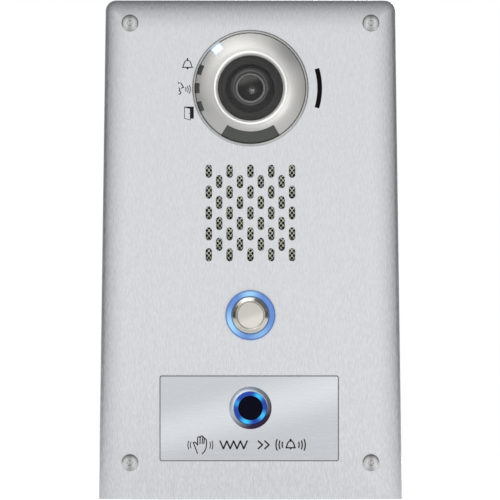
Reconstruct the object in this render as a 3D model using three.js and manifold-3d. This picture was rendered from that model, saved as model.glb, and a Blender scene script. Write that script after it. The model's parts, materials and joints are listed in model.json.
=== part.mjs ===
// Door intercom panel: a dished stainless face panel that carries a tilting camera, a loudspeaker,
// a microphone, an illuminated call button and a touch-free sensor, with its electronics module behind.
// Millimetres, +Z up, +X to the right of somebody facing the panel. Y = 0 is the wall plane: the front
// faces -Y and the module reaches into the wall along +Y.

import * as THREE from 'three';
import { ConvexGeometry } from 'three/addons/geometries/ConvexGeometry.js';
import { mergeVertices } from 'three/addons/utils/BufferGeometryUtils.js';
import Module from 'manifold-3d';

const wasm = await Module();
wasm.setup();

// ---------------------------------------------------------------------------------------------
// Driving dimensions. Every y is counted from the wall plane.
// ---------------------------------------------------------------------------------------------

const GAP = 0.3; // clearance between pieces that rest on each other
const SNUG = 0.1; // clearance of a piece that sits in its own seat

const PANEL = {
  height: 228.4,
  widthTop: 132.7,
  widthBottom: 138.9,
  depth: 6.5,
  sheet: 2,
  corner: 5,
};
// The rolled edge, outside and inside the sheet: how far it reaches in from the sides and the top, and how
// deep it is.
const ROLL = { side: 12, top: 13.8, deep: 3, steps: 8 };
const INNER_ROLL = { side: 5, top: 5, deep: 1.8, steps: 4 };
const FRONT = -PANEL.depth; // outer face of the face panel
const INSIDE = FRONT + PANEL.sheet; // inner face of the face panel

const SCREW = {
  x: 55.15, zTop: 103.7, zBottom: -97.45, headRadius: 3.85, headHeight: 2, shank: 2, length: 28,
};
const GASKET = { inset: 2.4, width: 3.2 };

const CAMERA = { z: 73.9, pivotY: 3.2, trim: 26.65, joint: 25.05, lip: 14.95, flange: 29.5, lens: 5.7 };
const BARREL = { radius: 8.2, front: -9.5, rear: 8 };
const LEVER = { x: 10.8, width: 2.6, rear: 43 };
const TILT = { up: 13, down: 8 }; // degrees

const MIC = { radius: 31.7, width: 2.1, half: 16.4, capsuleX: 36.2 };

const GRILLE = {
  z: 16.8, columns: 9, pitchX: 4.765, pitchZ: 9.56, slotWidth: 2.9, slotLength: 6.05, rows: 5,
};
const SPEAKER = { radius: 25, cone: 20.5, magnet: 13 };

const BUTTON = {
  z: -30, flange: 11.4, halo: 11.1, cap: 8.6, thread: 9.3, travel: 2, capFront: -9.5, stemRear: 7,
};
const PLATE = { width: 82, height: 39.2, x: -0.57, z: -77.2, thick: 0.6, corner: 1 };
const SENSOR = { z: -72.4, flange: 9.7, halo: 7.45, window: 5.55, thread: 7.9 };

const HOUSING = { halfWidth: 46, zBottom: -98, zTop: 107.8, wall: 2, rear: 38, corner: 4 };
const COVER = { thick: 2, rear: 40 };
const BOARD = { front: 24.5, rear: 26.1, halfWidth: 42, zBottom: -94, zTop: 103 };
const STANDOFF = { x: 38, zBottom: -90, zTop: 98, radius: 3.2, bore: 1.7 };

const JACK = { x: -22, z: -70, width: 16, height: 16, mouthWidth: 12.2, mouthHeight: 8.4, floor: 28.6 };
const TERMINAL = { x: 12, z: -70, ways: 8, pitch: 3.81, wall: 0.9, rear: 35, plugRear: 43 };
const RESET = { x: -34, z: -48, radius: 1.6, travel: 0.6, switchHeight: 1 };

const FINE = 32; // facets of a large turned piece
const MEDIUM = 20;
const SMALL = 10;

// ---------------------------------------------------------------------------------------------
// Solids
// ---------------------------------------------------------------------------------------------

const radians = THREE.MathUtils.degToRad;

// A closed geometry as a solid, with its faces turned outwards and its shared points merged.
function toSolid(geometry) {
  const bare = geometry.clone();
  bare.deleteAttribute('normal');
  bare.deleteAttribute('uv');
  const merged = mergeVertices(bare, 1e-5);
  const points = merged.attributes.position;
  const corner = (i) => new THREE.Vector3().fromBufferAttribute(points, i);
  const faces = [];
  let volume = 0;
  for (let i = 0; i < merged.index.count; i += 3) {
    const [a, b, c] = [0, 1, 2].map((k) => merged.index.getX(i + k));
    if (a === b || b === c || c === a) continue;
    faces.push([a, b, c]);
    volume += corner(a).dot(corner(b).cross(corner(c)));
  }
  const outward = volume < 0 ? faces.map(([a, b, c]) => [a, c, b]) : faces;
  return new wasm.Manifold(new wasm.Mesh({
    numProp: 3,
    vertProperties: new Float32Array(points.array),
    triVerts: new Uint32Array(outward.flat()),
  }));
}

function toGeometry(solid) {
  const mesh = solid.getMesh();
  const geometry = new THREE.BufferGeometry();
  geometry.setAttribute('position', new THREE.BufferAttribute(mesh.vertProperties, 3));
  geometry.setIndex(new THREE.BufferAttribute(mesh.triVerts, 1));
  geometry.computeVertexNormals();
  return geometry;
}

// A solid turned about the Y axis, from a profile of [radius, y] points.
function turned(profile, facets) {
  const points = profile.map(([radius, y]) => new THREE.Vector2(radius, y));
  const solidCore = profile[0][0] === 0 && profile.at(-1)[0] === 0;
  if (!solidCore) points.push(points[0].clone());
  return toSolid(new THREE.LatheGeometry(points, facets));
}

function rod(radius, y0, y1, facets) {
  return turned([[0, y0], [radius, y0], [radius, y1], [0, y1]], facets);
}

function tube(inner, outer, y0, y1, facets) {
  return turned([[inner, y0], [outer, y0], [outer, y1], [inner, y1]], facets);
}

// Points of a spherical cap's profile, from its top on the axis to its rim.
function cap(rim, rimY, topY, steps) {
  const rise = Math.abs(rimY - topY);
  const radius = (rim * rim + rise * rise) / (2 * rise);
  const side = Math.sign(rimY - topY);
  const span = Math.asin(rim / radius);
  return Array.from({ length: steps + 1 }, (_, i) => {
    const angle = (span * i) / steps;
    return [radius * Math.sin(angle), topY + side * radius * (1 - Math.cos(angle))];
  });
}

// A shape drawn in X and Z, made solid from y = back to y = front.
function slab(shape, back, front, curveSegments = 5) {
  const settings = { depth: back - front, bevelEnabled: false, curveSegments };
  const geometry = new THREE.ExtrudeGeometry(shape, settings);
  geometry.rotateX(Math.PI / 2);
  geometry.translate(0, back, 0);
  return toSolid(geometry);
}

function block(x, y, z) {
  const size = [x, y, z].map(([low, high]) => high - low);
  const geometry = new THREE.BoxGeometry(...size);
  geometry.translate((x[0] + x[1]) / 2, (y[0] + y[1]) / 2, (z[0] + z[1]) / 2);
  return toSolid(geometry);
}

function joined(solids) {
  return solids.reduce((whole, next) => whole.add(next));
}

function cutBy(solid, cutters) {
  return cutters.reduce((rest, cutter) => rest.subtract(cutter), solid);
}

function moved(solid, x, z) {
  return solid.translate([x, 0, z]);
}

// ---------------------------------------------------------------------------------------------
// Shapes, drawn in X and Z
// ---------------------------------------------------------------------------------------------

function rectangle(x0, x1, z0, z1, corner = 0) {
  const shape = new THREE.Shape();
  if (corner === 0) {
    shape.moveTo(x0, z0).lineTo(x1, z0).lineTo(x1, z1).lineTo(x0, z1);
    return shape;
  }
  shape.absarc(x1 - corner, z0 + corner, corner, -Math.PI / 2, 0);
  shape.absarc(x1 - corner, z1 - corner, corner, 0, Math.PI / 2);
  shape.absarc(x0 + corner, z1 - corner, corner, Math.PI / 2, Math.PI);
  shape.absarc(x0 + corner, z0 + corner, corner, Math.PI, Math.PI * 1.5);
  return shape;
}

function centred(width, height, corner = 0) {
  return rectangle(-width / 2, width / 2, -height / 2, height / 2, corner);
}

// Half of the panel's width at a height: its sides spread slightly towards the bottom.
function halfWidthAt(z) {
  const share = 0.5 - z / PANEL.height;
  return THREE.MathUtils.lerp(PANEL.widthTop, PANEL.widthBottom, share) / 2;
}

// The panel's outline, moved inwards by inset, with its bottom edge lowered by below. Its top edge may be
// moved by an amount of its own.
function panelOutline(inset, below = 0, topInset = inset) {
  const corner = Math.max(PANEL.corner - inset, 0.5);
  const top = PANEL.height / 2 - topInset;
  const bottom = -PANEL.height / 2 + inset - below;
  const halfTop = halfWidthAt(top) - inset;
  const halfBottom = halfWidthAt(bottom) - inset;
  const shape = new THREE.Shape();
  shape.moveTo(-halfBottom, bottom);
  shape.lineTo(halfBottom, bottom);
  shape.absarc(halfTop - corner, top - corner, corner, 0, Math.PI / 2);
  shape.absarc(-halfTop + corner, top - corner, corner, Math.PI / 2, Math.PI);
  return shape;
}

// A band between two radii, spread to both sides of a direction; 0 degrees points along +X.
function band(inner, outer, direction, half) {
  const shape = new THREE.Shape();
  shape.absarc(0, 0, outer, radians(direction - half), radians(direction + half));
  shape.absarc(0, 0, inner, radians(direction + half), radians(direction - half), true);
  return shape;
}

// The microphone's arc, centred on +X seen from the camera's axis.
function micBand(width, half) {
  return band(MIC.radius - width / 2, MIC.radius + width / 2, 0, half);
}

function uprightSlot(width, length) {
  const shape = new THREE.Shape();
  const reach = (length - width) / 2;
  shape.absarc(0, reach, width / 2, 0, Math.PI);
  shape.absarc(0, -reach, width / 2, Math.PI, 2 * Math.PI);
  return shape;
}

function hexagon(acrossFlats, hole) {
  const shape = new THREE.Shape();
  const radius = acrossFlats / Math.sqrt(3);
  for (let i = 0; i < 6; i += 1) {
    const angle = radians(60 * i);
    const point = [radius * Math.cos(angle), radius * Math.sin(angle)];
    if (i === 0) shape.moveTo(...point);
    else shape.lineTo(...point);
  }
  const opening = new THREE.Path();
  opening.absarc(0, 0, hole, 0, 2 * Math.PI, true);
  shape.holes.push(opening);
  return shape;
}

// A nut against the panel's inner face.
function hexNut(acrossFlats, thread, thickness) {
  const front = INSIDE + 0.2;
  return slab(hexagon(acrossFlats, thread + GAP), front + thickness, front, MEDIUM / 2);
}

// ---------------------------------------------------------------------------------------------
// Finishes
// ---------------------------------------------------------------------------------------------

function finish(color, roughness, metalness) {
  return new THREE.MeshStandardMaterial({ color, roughness, metalness });
}

const FINISH = {
  brushedSteel: finish(0xd5d8dc, 0.38, 1),
  brushedPlate: finish(0xc8ccd1, 0.3, 1),
  polishedSteel: finish(0xb8bbbe, 0.15, 1),
  zincSteel: finish(0xa9abad, 0.35, 1),
  nickel: finish(0xcdc9c0, 0.25, 1),
  silverPlastic: finish(0xd0d0cc, 0.35, 0.6),
  blackPlastic: finish(0x17181a, 0.45, 0),
  darkPlastic: finish(0x2c2e31, 0.6, 0),
  greyWindow: finish(0x515352, 0.35, 0),
  dome: finish(0x1d1e20, 0.05, 0),
  glass: finish(0x30343a, 0.03, 0),
  lensRing: finish(0x8d9092, 0.3, 0.8),
  rubber: finish(0x151515, 0.85, 0),
  foam: finish(0x26272a, 0.95, 0),
  blueLight: finish(0x4f86e8, 0.3, 0),
  whiteLight: finish(0xeaf6ff, 0.3, 0),
  board: finish(0x1f5a3a, 0.5, 0),
  green: finish(0x2f8f4e, 0.5, 0),
  mesh: finish(0x8c8c84, 0.5, 0.9),
  paper: finish(0x202124, 0.9, 0),
  spring: finish(0xb0b2b4, 0.3, 1),
};

const intercom = new THREE.Group();

function add(parent, name, solid, material) {
  const mesh = new THREE.Mesh(toGeometry(solid), material);
  mesh.name = name;
  parent.add(mesh);
}

function unit(x, z) {
  const group = new THREE.Group();
  group.position.set(x, 0, z);
  intercom.add(group);
  return group;
}

// The four places of something that repeats on both sides, at the top and at the bottom.
function fourPlaces(place) {
  const heights = [place.zTop, place.zBottom];
  return heights.flatMap((z) => [-place.x, place.x].map((x) => ({ x, z })));
}

// ---------------------------------------------------------------------------------------------
// Face panel, its gasket, its screws and the plate around the sensor
// ---------------------------------------------------------------------------------------------

// The loudspeaker's slots: odd columns hold one slot more than even ones, which stand half a pitch off.
function grilleSlots() {
  const slot = slab(uprightSlot(GRILLE.slotWidth, GRILLE.slotLength), 0, 2 * FRONT, 2);
  const slots = [];
  for (let column = 0; column < GRILLE.columns; column += 1) {
    const rows = GRILLE.rows - (column % 2);
    const x = (column - (GRILLE.columns - 1) / 2) * GRILLE.pitchX;
    for (let row = 0; row < rows; row += 1) {
      const z = GRILLE.z + (row - (rows - 1) / 2) * GRILLE.pitchZ;
      slots.push(moved(slot, x, z));
    }
  }
  return slots;
}

function panelHoles() {
  const through = (radius, x, z, facets) => moved(rod(radius, 2 * FRONT, -GAP, facets), x, z);
  const micSlot = slab(micBand(MIC.width, MIC.half), -GAP, 2 * FRONT, 3);
  return [
    through(25.9, 0, CAMERA.z, FINE),
    through(BUTTON.thread + GAP, 0, BUTTON.z, MEDIUM),
    through(SENSOR.thread + GAP, 0, SENSOR.z, MEDIUM),
    ...fourPlaces(SCREW).map(({ x, z }) => through(SCREW.shank + 0.4, x, z, SMALL)),
    moved(micSlot, 0, CAMERA.z),
    ...grilleSlots(),
  ];
}

// A pillow with rolled sides and top: its flat front lies at front, its outline ends at rear.
function rolledBlock(roll, inset, below, front, rear) {
  const points = [];
  const addLoop = (side, top, y) => {
    const loop = panelOutline(inset + side, below, inset + top).getPoints(3);
    loop.forEach((p) => points.push(new THREE.Vector3(p.x, y, p.y)));
  };
  for (let k = 0; k <= roll.steps; k += 1) {
    const turn = (Math.PI / 2) * (k / roll.steps);
    const kept = 1 - Math.sin(turn);
    addLoop(roll.side * kept, roll.top * kept, front + roll.deep * (1 - Math.cos(turn)));
  }
  addLoop(0, 0, rear);
  return toSolid(new ConvexGeometry(points));
}

function facePanel() {
  const spare = 8; // length below the bottom edge that is cut off again
  const bottom = -PANEL.height / 2;
  const reach = PANEL.height;
  const belowEdge = block([-reach, reach], [-reach, reach], [bottom - reach, bottom]);
  const aboveSheet = block([-reach, reach], [-reach, reach], [bottom - reach, bottom + PANEL.sheet]);
  const pocket = rolledBlock(INNER_ROLL, PANEL.sheet, spare, INSIDE, 1).subtract(aboveSheet);
  const drains = [-1, 1].map((side) => block(
    [side * 38 - 4, side * 38 + 4],
    [-1.8, 1],
    [bottom - 1, bottom + PANEL.sheet + 1],
  ));
  const skin = rolledBlock(ROLL, 0, spare, FRONT, 0);
  return cutBy(skin, [belowEdge, pocket, ...panelHoles(), ...drains]);
}

function panelGasket() {
  const outer = slab(panelOutline(GASKET.inset), 0, INSIDE + INNER_ROLL.deep + SNUG, 3);
  const inner = slab(panelOutline(GASKET.inset + GASKET.width), 1, 2 * FRONT, 3);
  return outer.subtract(inner);
}

// A button-headed screw with a round driver recess.
function panelScrew() {
  const seat = FRONT - SNUG;
  const crown = seat - SCREW.headHeight;
  return turned([
    [0, crown + 1.3],
    [1.4, crown + 1.3],
    [1.4, crown],
    [2.8, crown + 0.5],
    [SCREW.headRadius, seat - 0.4],
    [SCREW.headRadius, seat],
    [SCREW.shank, seat],
    [SCREW.shank, seat + SCREW.length],
    [0, seat + SCREW.length],
  ], SMALL);
}

function sensorPlate() {
  const plate = slab(centred(PLATE.width, PLATE.height, PLATE.corner), FRONT - SNUG, FRONT - PLATE.thick, 3);
  const hole = moved(rod(SENSOR.thread + GAP, 2 * FRONT, 0, MEDIUM), -PLATE.x, SENSOR.z - PLATE.z);
  return plate.subtract(hole);
}

function buildPanel() {
  add(intercom, 'face_panel', facePanel(), FINISH.brushedSteel);
  add(intercom, 'panel_gasket', panelGasket(), FINISH.rubber);
  add(unit(PLATE.x, PLATE.z), 'sensor_plate', sensorPlate(), FINISH.brushedPlate);
  fourPlaces(SCREW).forEach(({ x, z }, i) => {
    add(unit(x, z), `panel_screw_${i + 1}`, panelScrew(), FINISH.zincSteel);
  });
}

// ---------------------------------------------------------------------------------------------
// Camera unit, about its own axis
// ---------------------------------------------------------------------------------------------

const BEZEL_FRONT = [[CAMERA.joint, -7.5], [23.4, -8.7], [20.8, -9.9], [17, -11]]; // crowned silver ring

// Windows in the silver ring: direction, half width in degrees, and the inner radius.
const WINDOWS = [
  { name: 'status_light', direction: 130, half: 6, inner: 21.2, material: FINISH.whiteLight },
  { name: 'indicator_window_1', direction: 160, half: 5.4, inner: 23.3, material: FINISH.greyWindow },
  { name: 'indicator_window_2', direction: 180, half: 5.4, inner: 23.3, material: FINISH.greyWindow },
  { name: 'indicator_window_3', direction: 200, half: 5.4, inner: 23.3, material: FINISH.greyWindow },
  { name: 'illumination_window', direction: 270, half: 32, inner: 19.9, material: FINISH.greyWindow },
];

function trimRing() {
  const inner = CAMERA.joint + SNUG;
  const seat = FRONT - SNUG;
  return turned([
    [inner, INSIDE + 0.4],
    [inner + 0.5, INSIDE + 0.4],
    [inner + 0.5, seat],
    [CAMERA.trim, seat],
    [CAMERA.trim, seat - 0.8],
    [CAMERA.trim - 0.4, seat - 1.3],
    [inner + 0.3, seat - 1.3],
    [inner, seat - 1],
  ], FINE);
}

function bezel() {
  const flangeFront = INSIDE + 1.1;
  const ring = turned([
    ...BEZEL_FRONT,
    [15.9, -11.1],
    [CAMERA.lip, -10.3],
    [CAMERA.lip, -8.6],
    [16.8, -8.6],
    [16.8, flangeFront + 1.5],
    [CAMERA.flange, flangeFront + 1.5],
    [CAMERA.flange, flangeFront],
    [CAMERA.joint, flangeFront],
  ], FINE);
  const seats = WINDOWS.map(({ direction, half, inner }) => (
    slab(band(inner, CAMERA.joint + 0.04, direction, half), 0, 2 * FRONT)
  ));
  return cutBy(ring, seats);
}

// A window's solid follows the crown of the silver ring, a little below it.
function windowSolid({ direction, half, inner }) {
  const edge = 0.5; // degrees left free at each end
  const crown = turned([
    ...BEZEL_FRONT.map(([r, y]) => [r, y + 0.15]),
    [17, INSIDE + 1],
    [CAMERA.joint, INSIDE + 1],
  ], FINE);
  const outline = band(inner + SNUG, CAMERA.joint - SNUG, direction, half - edge);
  return crown.intersect(slab(outline, 0, 2 * FRONT));
}

function domeCover() {
  const outer = cap(14.6, -9.6, -14.2, 5);
  const inner = cap(13.4, -8.6, -12.7, 4).reverse();
  return turned([...outer, [14.6, -8.4], [16.5, -8.4], [16.5, -7.2], [13.4, -7.2], ...inner], FINE);
}

function cameraShroud() {
  const profile = [[13.3, -7.05], [16.4, -7.05], [16.4, -5.6], [14.6, -5.6], [12.4, -2.6], [11.3, -2.6]];
  return turned(profile, MEDIUM);
}

function ledBoard() {
  return tube(17, 24.5, -1.6, -0.2, MEDIUM);
}

function cameraBracket() {
  const plate = { front: 0.1, rear: 1.6 };
  const ring = tube(14.5, 27, plate.front, plate.rear, MEDIUM);
  const pinHole = rod(1.62, -2, 2, SMALL).rotate([0, 0, 90]);
  const ears = [-1, 1].map((side) => {
    const x = side > 0 ? [12.4, 16] : [-16, -12.4];
    const outer = [Math.sign(side) * 14, Math.sign(side) * 16].sort((a, b) => a - b);
    const ear = block(x, [plate.front, 6.6], [-4, 4]);
    const relief = block(outer, [plate.rear, 8], [-5, 5]);
    return ear.subtract(relief).subtract(pinHole.translate([side * 13, CAMERA.pivotY, 0]));
  });
  return joined([ring, ...ears]);
}

function tiltCradle() {
  const hoop = tube(BARREL.radius + 0.15, 10, -0.6, 7, MEDIUM);
  const lightShield = tube(BARREL.radius + 0.15, 11.2, -1.1, -0.6, MEDIUM);
  const pins = [-1, 1].map((side) => (
    rod(1.5, -2.2, 2.2, SMALL).rotate([0, 0, 90]).translate([side * 11.9, CAMERA.pivotY, 0])
  ));
  const arm = block(
    [LEVER.x - LEVER.width / 2, LEVER.x + LEVER.width / 2],
    [5.4, LEVER.rear],
    [-LEVER.width / 2, LEVER.width / 2],
  );
  const root = block([8.6, LEVER.x + LEVER.width / 2], [4.6, 7], [-2.4, 2.4]);
  const bore = rod(BARREL.radius + 0.15, -2, 8, MEDIUM);
  return joined([hoop, lightShield, ...pins, root, arm]).subtract(bore);
}

function cameraBarrel() {
  return turned([
    [7.05, BARREL.front],
    [7.9, BARREL.front],
    [BARREL.radius, BARREL.front + 0.3],
    [BARREL.radius, BARREL.rear],
    [5, BARREL.rear],
    [5, -7.9],
    [7.05, -7.9],
  ], MEDIUM);
}

function lensGlass() {
  const edge = CAMERA.lens - SNUG;
  return turned([...cap(edge, -9.2, -10.2, 3), [edge, -8.2], [0, -8.2]], MEDIUM);
}

function imageSensorBoard() {
  const plate = block([-8, 8], [BARREL.rear + 0.2, BARREL.rear + 1.6], [-8, 8]);
  const connector = block([-5, 5], [BARREL.rear + 1.6, BARREL.rear + 4], [-7, -3]);
  return plate.add(connector);
}

function buildCamera() {
  const camera = unit(0, CAMERA.z);
  add(camera, 'camera_trim_ring', trimRing(), FINISH.polishedSteel);
  add(camera, 'camera_bezel', bezel(), FINISH.silverPlastic);
  add(camera, 'dome_cover', domeCover(), FINISH.dome);
  WINDOWS.forEach((window) => add(camera, window.name, windowSolid(window), window.material));
  add(camera, 'camera_gasket', tube(26.2, CAMERA.flange, INSIDE + SNUG, INSIDE + 1, MEDIUM), FINISH.rubber);
  add(camera, 'camera_shroud', cameraShroud(), FINISH.blackPlastic);
  add(camera, 'led_board', ledBoard(), FINISH.board);
  add(camera, 'camera_bracket', cameraBracket(), FINISH.darkPlastic);
  add(camera, 'tilt_cradle', tiltCradle(), FINISH.blackPlastic);
  add(camera, 'camera_barrel', cameraBarrel(), FINISH.blackPlastic);
  add(camera, 'lens_ring', tube(CAMERA.lens, 6.95, BARREL.front - 0.2, -8, MEDIUM), FINISH.lensRing);
  add(camera, 'lens_glass', lensGlass(), FINISH.glass);
  add(camera, 'image_sensor_board', imageSensorBoard(), FINISH.board);
}

// ---------------------------------------------------------------------------------------------
// Microphone, beside the camera
// ---------------------------------------------------------------------------------------------

function buildMicrophone() {
  const camera = unit(0, CAMERA.z);
  const insert = slab(micBand(MIC.width - 0.4, MIC.half - 0.35), INSIDE + 0.4, FRONT + 0.2, 3);
  const foot = slab(micBand(3.8, MIC.half + 1.5), INSIDE + 1.4, INSIDE + SNUG, 3);
  add(camera, 'mic_slot_insert', insert.add(foot), FINISH.rubber);
  const capsule = unit(MIC.capsuleX, CAMERA.z);
  const boot = turned([[1, -3], [5.2, -3], [5.2, 2.6], [4.1, 2.6], [4.1, -2], [1, -2]], SMALL);
  add(capsule, 'mic_boot', boot, FINISH.rubber);
  add(capsule, 'mic_capsule', rod(4, -1.9, 2.9, SMALL), FINISH.zincSteel);
}

// ---------------------------------------------------------------------------------------------
// Loudspeaker, behind the grille
// ---------------------------------------------------------------------------------------------

function speakerBasket() {
  return turned([
    [22.5, -2],
    [SPEAKER.radius, -2],
    [SPEAKER.radius, -0.6],
    [22.5, -0.6],
    [12, 8.4],
    [8, 8.4],
    [8, 7.2],
    [11.4, 7.2],
    [21.6, -1],
  ], MEDIUM);
}

// A paper cone with a domed dust cap in its middle.
function speakerCone() {
  const front = [[0, 2.2], [5, 3.4], [7, 4.8], [SPEAKER.cone, -1.4]];
  const back = [[SPEAKER.cone, -0.8], [7, 5.4], [0, 5.4]];
  return turned([...front, ...back], MEDIUM);
}

function buildSpeaker() {
  const speaker = unit(0, GRILLE.z);
  add(speaker, 'speaker_mesh', slab(centred(45, 50, 3), INSIDE + 0.6, INSIDE + SNUG, 2), FINISH.mesh);
  add(speaker, 'speaker_gasket', tube(21.8, SPEAKER.radius, INSIDE + 0.7, -2.1, MEDIUM), FINISH.foam);
  add(speaker, 'speaker_basket', speakerBasket(), FINISH.zincSteel);
  add(speaker, 'speaker_cone', speakerCone(), FINISH.paper);
  add(speaker, 'speaker_magnet', rod(SPEAKER.magnet, 8.7, 17, MEDIUM), FINISH.zincSteel);
}

// ---------------------------------------------------------------------------------------------
// Call button
// ---------------------------------------------------------------------------------------------

const WELL = { front: -7.95, step: -4.5, floor: 3, floorRear: 4.4, rear: 14 }; // inside the button's body

function buttonBody() {
  const front = -8.9;
  const seat = FRONT - SNUG;
  return turned([
    [BUTTON.halo + 0.05, front],
    [BUTTON.flange - 0.1, front],
    [BUTTON.flange, front + 0.1],
    [BUTTON.flange, seat],
    [11.05, seat],
    [11.05, seat - 0.7],
    [9.85, seat - 0.7],
    [9.85, seat],
    [BUTTON.thread, seat],
    [BUTTON.thread, WELL.rear],
    [8.2, WELL.rear],
    [8.2, WELL.floorRear],
    [4.3, WELL.floorRear],
    [4.3, WELL.floor],
    [8, WELL.floor],
    [8, WELL.step],
    [8.85, WELL.step],
    [8.85, WELL.front],
    [BUTTON.halo + 0.05, WELL.front],
  ], MEDIUM);
}

function buttonHalo() {
  return tube(8.85, BUTTON.halo - SNUG, -8.75, -8, MEDIUM);
}

// The cap: a flat disc inside a bevelled rim, a skirt that guides it and a stem that works the switch.
function buttonCap() {
  const front = BUTTON.capFront;
  return turned([
    [0, front + 0.25],
    [6.35, front + 0.25],
    [6.5, front],
    [7.7, front],
    [BUTTON.cap, front + 0.6],
    [BUTTON.cap, -7.2],
    [7.6, -7.2],
    [7.6, -3],
    [4, -3],
    [4, BUTTON.stemRear],
    [0, BUTTON.stemRear],
  ], MEDIUM);
}

class Coil extends THREE.Curve {
  constructor(radius, y0, y1, turns) {
    super();
    Object.assign(this, { radius, y0, y1, turns });
  }

  getPoint(t, target = new THREE.Vector3()) {
    const angle = 2 * Math.PI * this.turns * t;
    const y = THREE.MathUtils.lerp(this.y0, this.y1, t);
    return target.set(this.radius * Math.cos(angle), y, this.radius * Math.sin(angle));
  }
}

function buttonSpring() {
  const wire = 0.35;
  const turns = 3;
  const section = new THREE.Shape();
  section.absarc(0, 0, wire, 0, 2 * Math.PI);
  const path = new Coil(6.4, -3 + wire + SNUG, WELL.floor - wire - SNUG, turns);
  const settings = { steps: turns * 14, curveSegments: 3, extrudePath: path };
  return toSolid(new THREE.ExtrudeGeometry(section, settings));
}

function buttonOring() {
  const section = { radius: 10.45, y: -6.98, half: 0.32 };
  const profile = Array.from({ length: 6 }, (_, i) => {
    const angle = radians(60 * i);
    return [section.radius + section.half * Math.cos(angle), section.y + section.half * Math.sin(angle)];
  });
  return turned(profile, MEDIUM);
}

function buttonSwitch() {
  const front = BUTTON.stemRear + BUTTON.travel + GAP; // the pressed stem stops just short of it
  const spigot = rod(7.9, front, WELL.rear + 0.2, SMALL);
  const body = rod(BUTTON.thread - 0.1, WELL.rear + 0.2, 19, SMALL);
  const blade = (x, z) => block([x - 0.4, x + 0.4], [18.5, 22.5], [z - 1.4, z + 1.4]);
  const blades = [blade(-4.5, 0), blade(4.5, 0), blade(0, 4.5), blade(0, -4.5)];
  return joined([spigot, body, ...blades]);
}

function buildButton() {
  const button = unit(0, BUTTON.z);
  add(button, 'button_body', buttonBody(), FINISH.polishedSteel);
  add(button, 'button_halo', buttonHalo(), FINISH.blueLight);
  add(button, 'button_cap', buttonCap(), FINISH.nickel);
  add(button, 'button_spring', buttonSpring(), FINISH.spring);
  add(button, 'button_oring', buttonOring(), FINISH.rubber);
  add(button, 'button_nut', hexNut(23, BUTTON.thread, 3), FINISH.zincSteel);
  add(button, 'button_switch', buttonSwitch(), FINISH.blackPlastic);
}

// ---------------------------------------------------------------------------------------------
// Touch-free sensor
// ---------------------------------------------------------------------------------------------

function sensorBody() {
  const front = -9.2;
  const seat = FRONT - PLATE.thick - SNUG;
  return turned([
    [SENSOR.halo + 0.1, front],
    [SENSOR.flange - 0.8, front],
    [SENSOR.flange, front + 0.8],
    [SENSOR.flange, seat],
    [SENSOR.thread, seat],
    [SENSOR.thread, 12],
    [6.2, 12],
    [6.2, -8.1],
    [SENSOR.halo + 0.1, -8.1],
  ], MEDIUM);
}

function sensorWindow() {
  const radius = SENSOR.window - 0.05;
  return turned([[0, -9.1], [radius, -9.1], [radius, -4], [0, -4]], MEDIUM);
}

function buildSensor() {
  const sensor = unit(0, SENSOR.z);
  add(sensor, 'sensor_body', sensorBody(), FINISH.polishedSteel);
  add(sensor, 'sensor_halo', tube(SENSOR.window + 0.1, SENSOR.halo, -9, -8.2, MEDIUM), FINISH.blueLight);
  add(sensor, 'sensor_window', sensorWindow(), FINISH.glass);
  add(sensor, 'sensor_nut', hexNut(20, SENSOR.thread, 2.8), FINISH.zincSteel);
  const socket = rod(SENSOR.thread, 12.2, 16, SMALL);
  const pins = [-1, 0, 1].map((i) => block([3 * i - 0.5, 3 * i + 0.5], [15.5, 20], [-0.5, 0.5]));
  add(sensor, 'sensor_connector', joined([socket, ...pins]), FINISH.blackPlastic);
}

// ---------------------------------------------------------------------------------------------
// Electronics module: housing, cover, board, connectors and fixings
// ---------------------------------------------------------------------------------------------

function housingShape(inset) {
  const half = HOUSING.halfWidth - inset;
  const corner = Math.max(HOUSING.corner - inset, 1);
  return rectangle(-half, half, HOUSING.zBottom + inset, HOUSING.zTop - inset, corner);
}

function rearHousing() {
  const outer = slab(housingShape(0), HOUSING.rear - 0.1, INSIDE + GAP, 3);
  const inner = slab(housingShape(HOUSING.wall), HOUSING.rear + 1, 2 * FRONT, 3);
  return outer.subtract(inner);
}

// Room that the tilt lever sweeps through in the cover, above and below the camera's axis.
function leverSlot() {
  const reach = COVER.rear - CAMERA.pivotY;
  const side = LEVER.width / 2 + 1.2;
  const up = CAMERA.z + reach * Math.tan(radians(TILT.down)) + side;
  const down = CAMERA.z - reach * Math.tan(radians(TILT.up)) - side;
  return block([LEVER.x - side, LEVER.x + side], [HOUSING.rear - 4, COVER.rear + 1], [down, up]);
}

function windowFor(place, width, height) {
  const x = [place.x - width / 2, place.x + width / 2];
  return block(x, [HOUSING.rear - 4, COVER.rear + 1], [place.z - height / 2, place.z + height / 2]);
}

function terminalWidth(extra) {
  return TERMINAL.ways * TERMINAL.pitch + extra;
}

function backCover() {
  const plate = slab(housingShape(0), COVER.rear, COVER.rear - COVER.thick, 3);
  const lipOuter = slab(housingShape(HOUSING.wall + 0.3), HOUSING.rear + 0.5, HOUSING.rear - 2.5, 3);
  const lipInner = slab(housingShape(HOUSING.wall + 1.8), HOUSING.rear, 0, 3);
  const bosses = fourPlaces(STANDOFF).map(({ x, z }) => (
    moved(rod(STANDOFF.radius, BOARD.rear + GAP, HOUSING.rear + 0.5, SMALL), x, z)
  ));
  const hole = () => rod(1.8, BOARD.rear, COVER.rear + 1, SMALL);
  const holes = fourPlaces(STANDOFF).map(({ x, z }) => moved(hole(), x, z));
  return cutBy(joined([plate, lipOuter.subtract(lipInner), ...bosses]), [
    ...holes,
    leverSlot(),
    windowFor(JACK, JACK.width + 0.8, JACK.height + 0.8),
    windowFor(TERMINAL, terminalWidth(4), 10.4),
    moved(rod(RESET.radius + 0.3, HOUSING.rear - 1, COVER.rear + 1, SMALL), RESET.x, RESET.z),
  ]);
}

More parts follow.
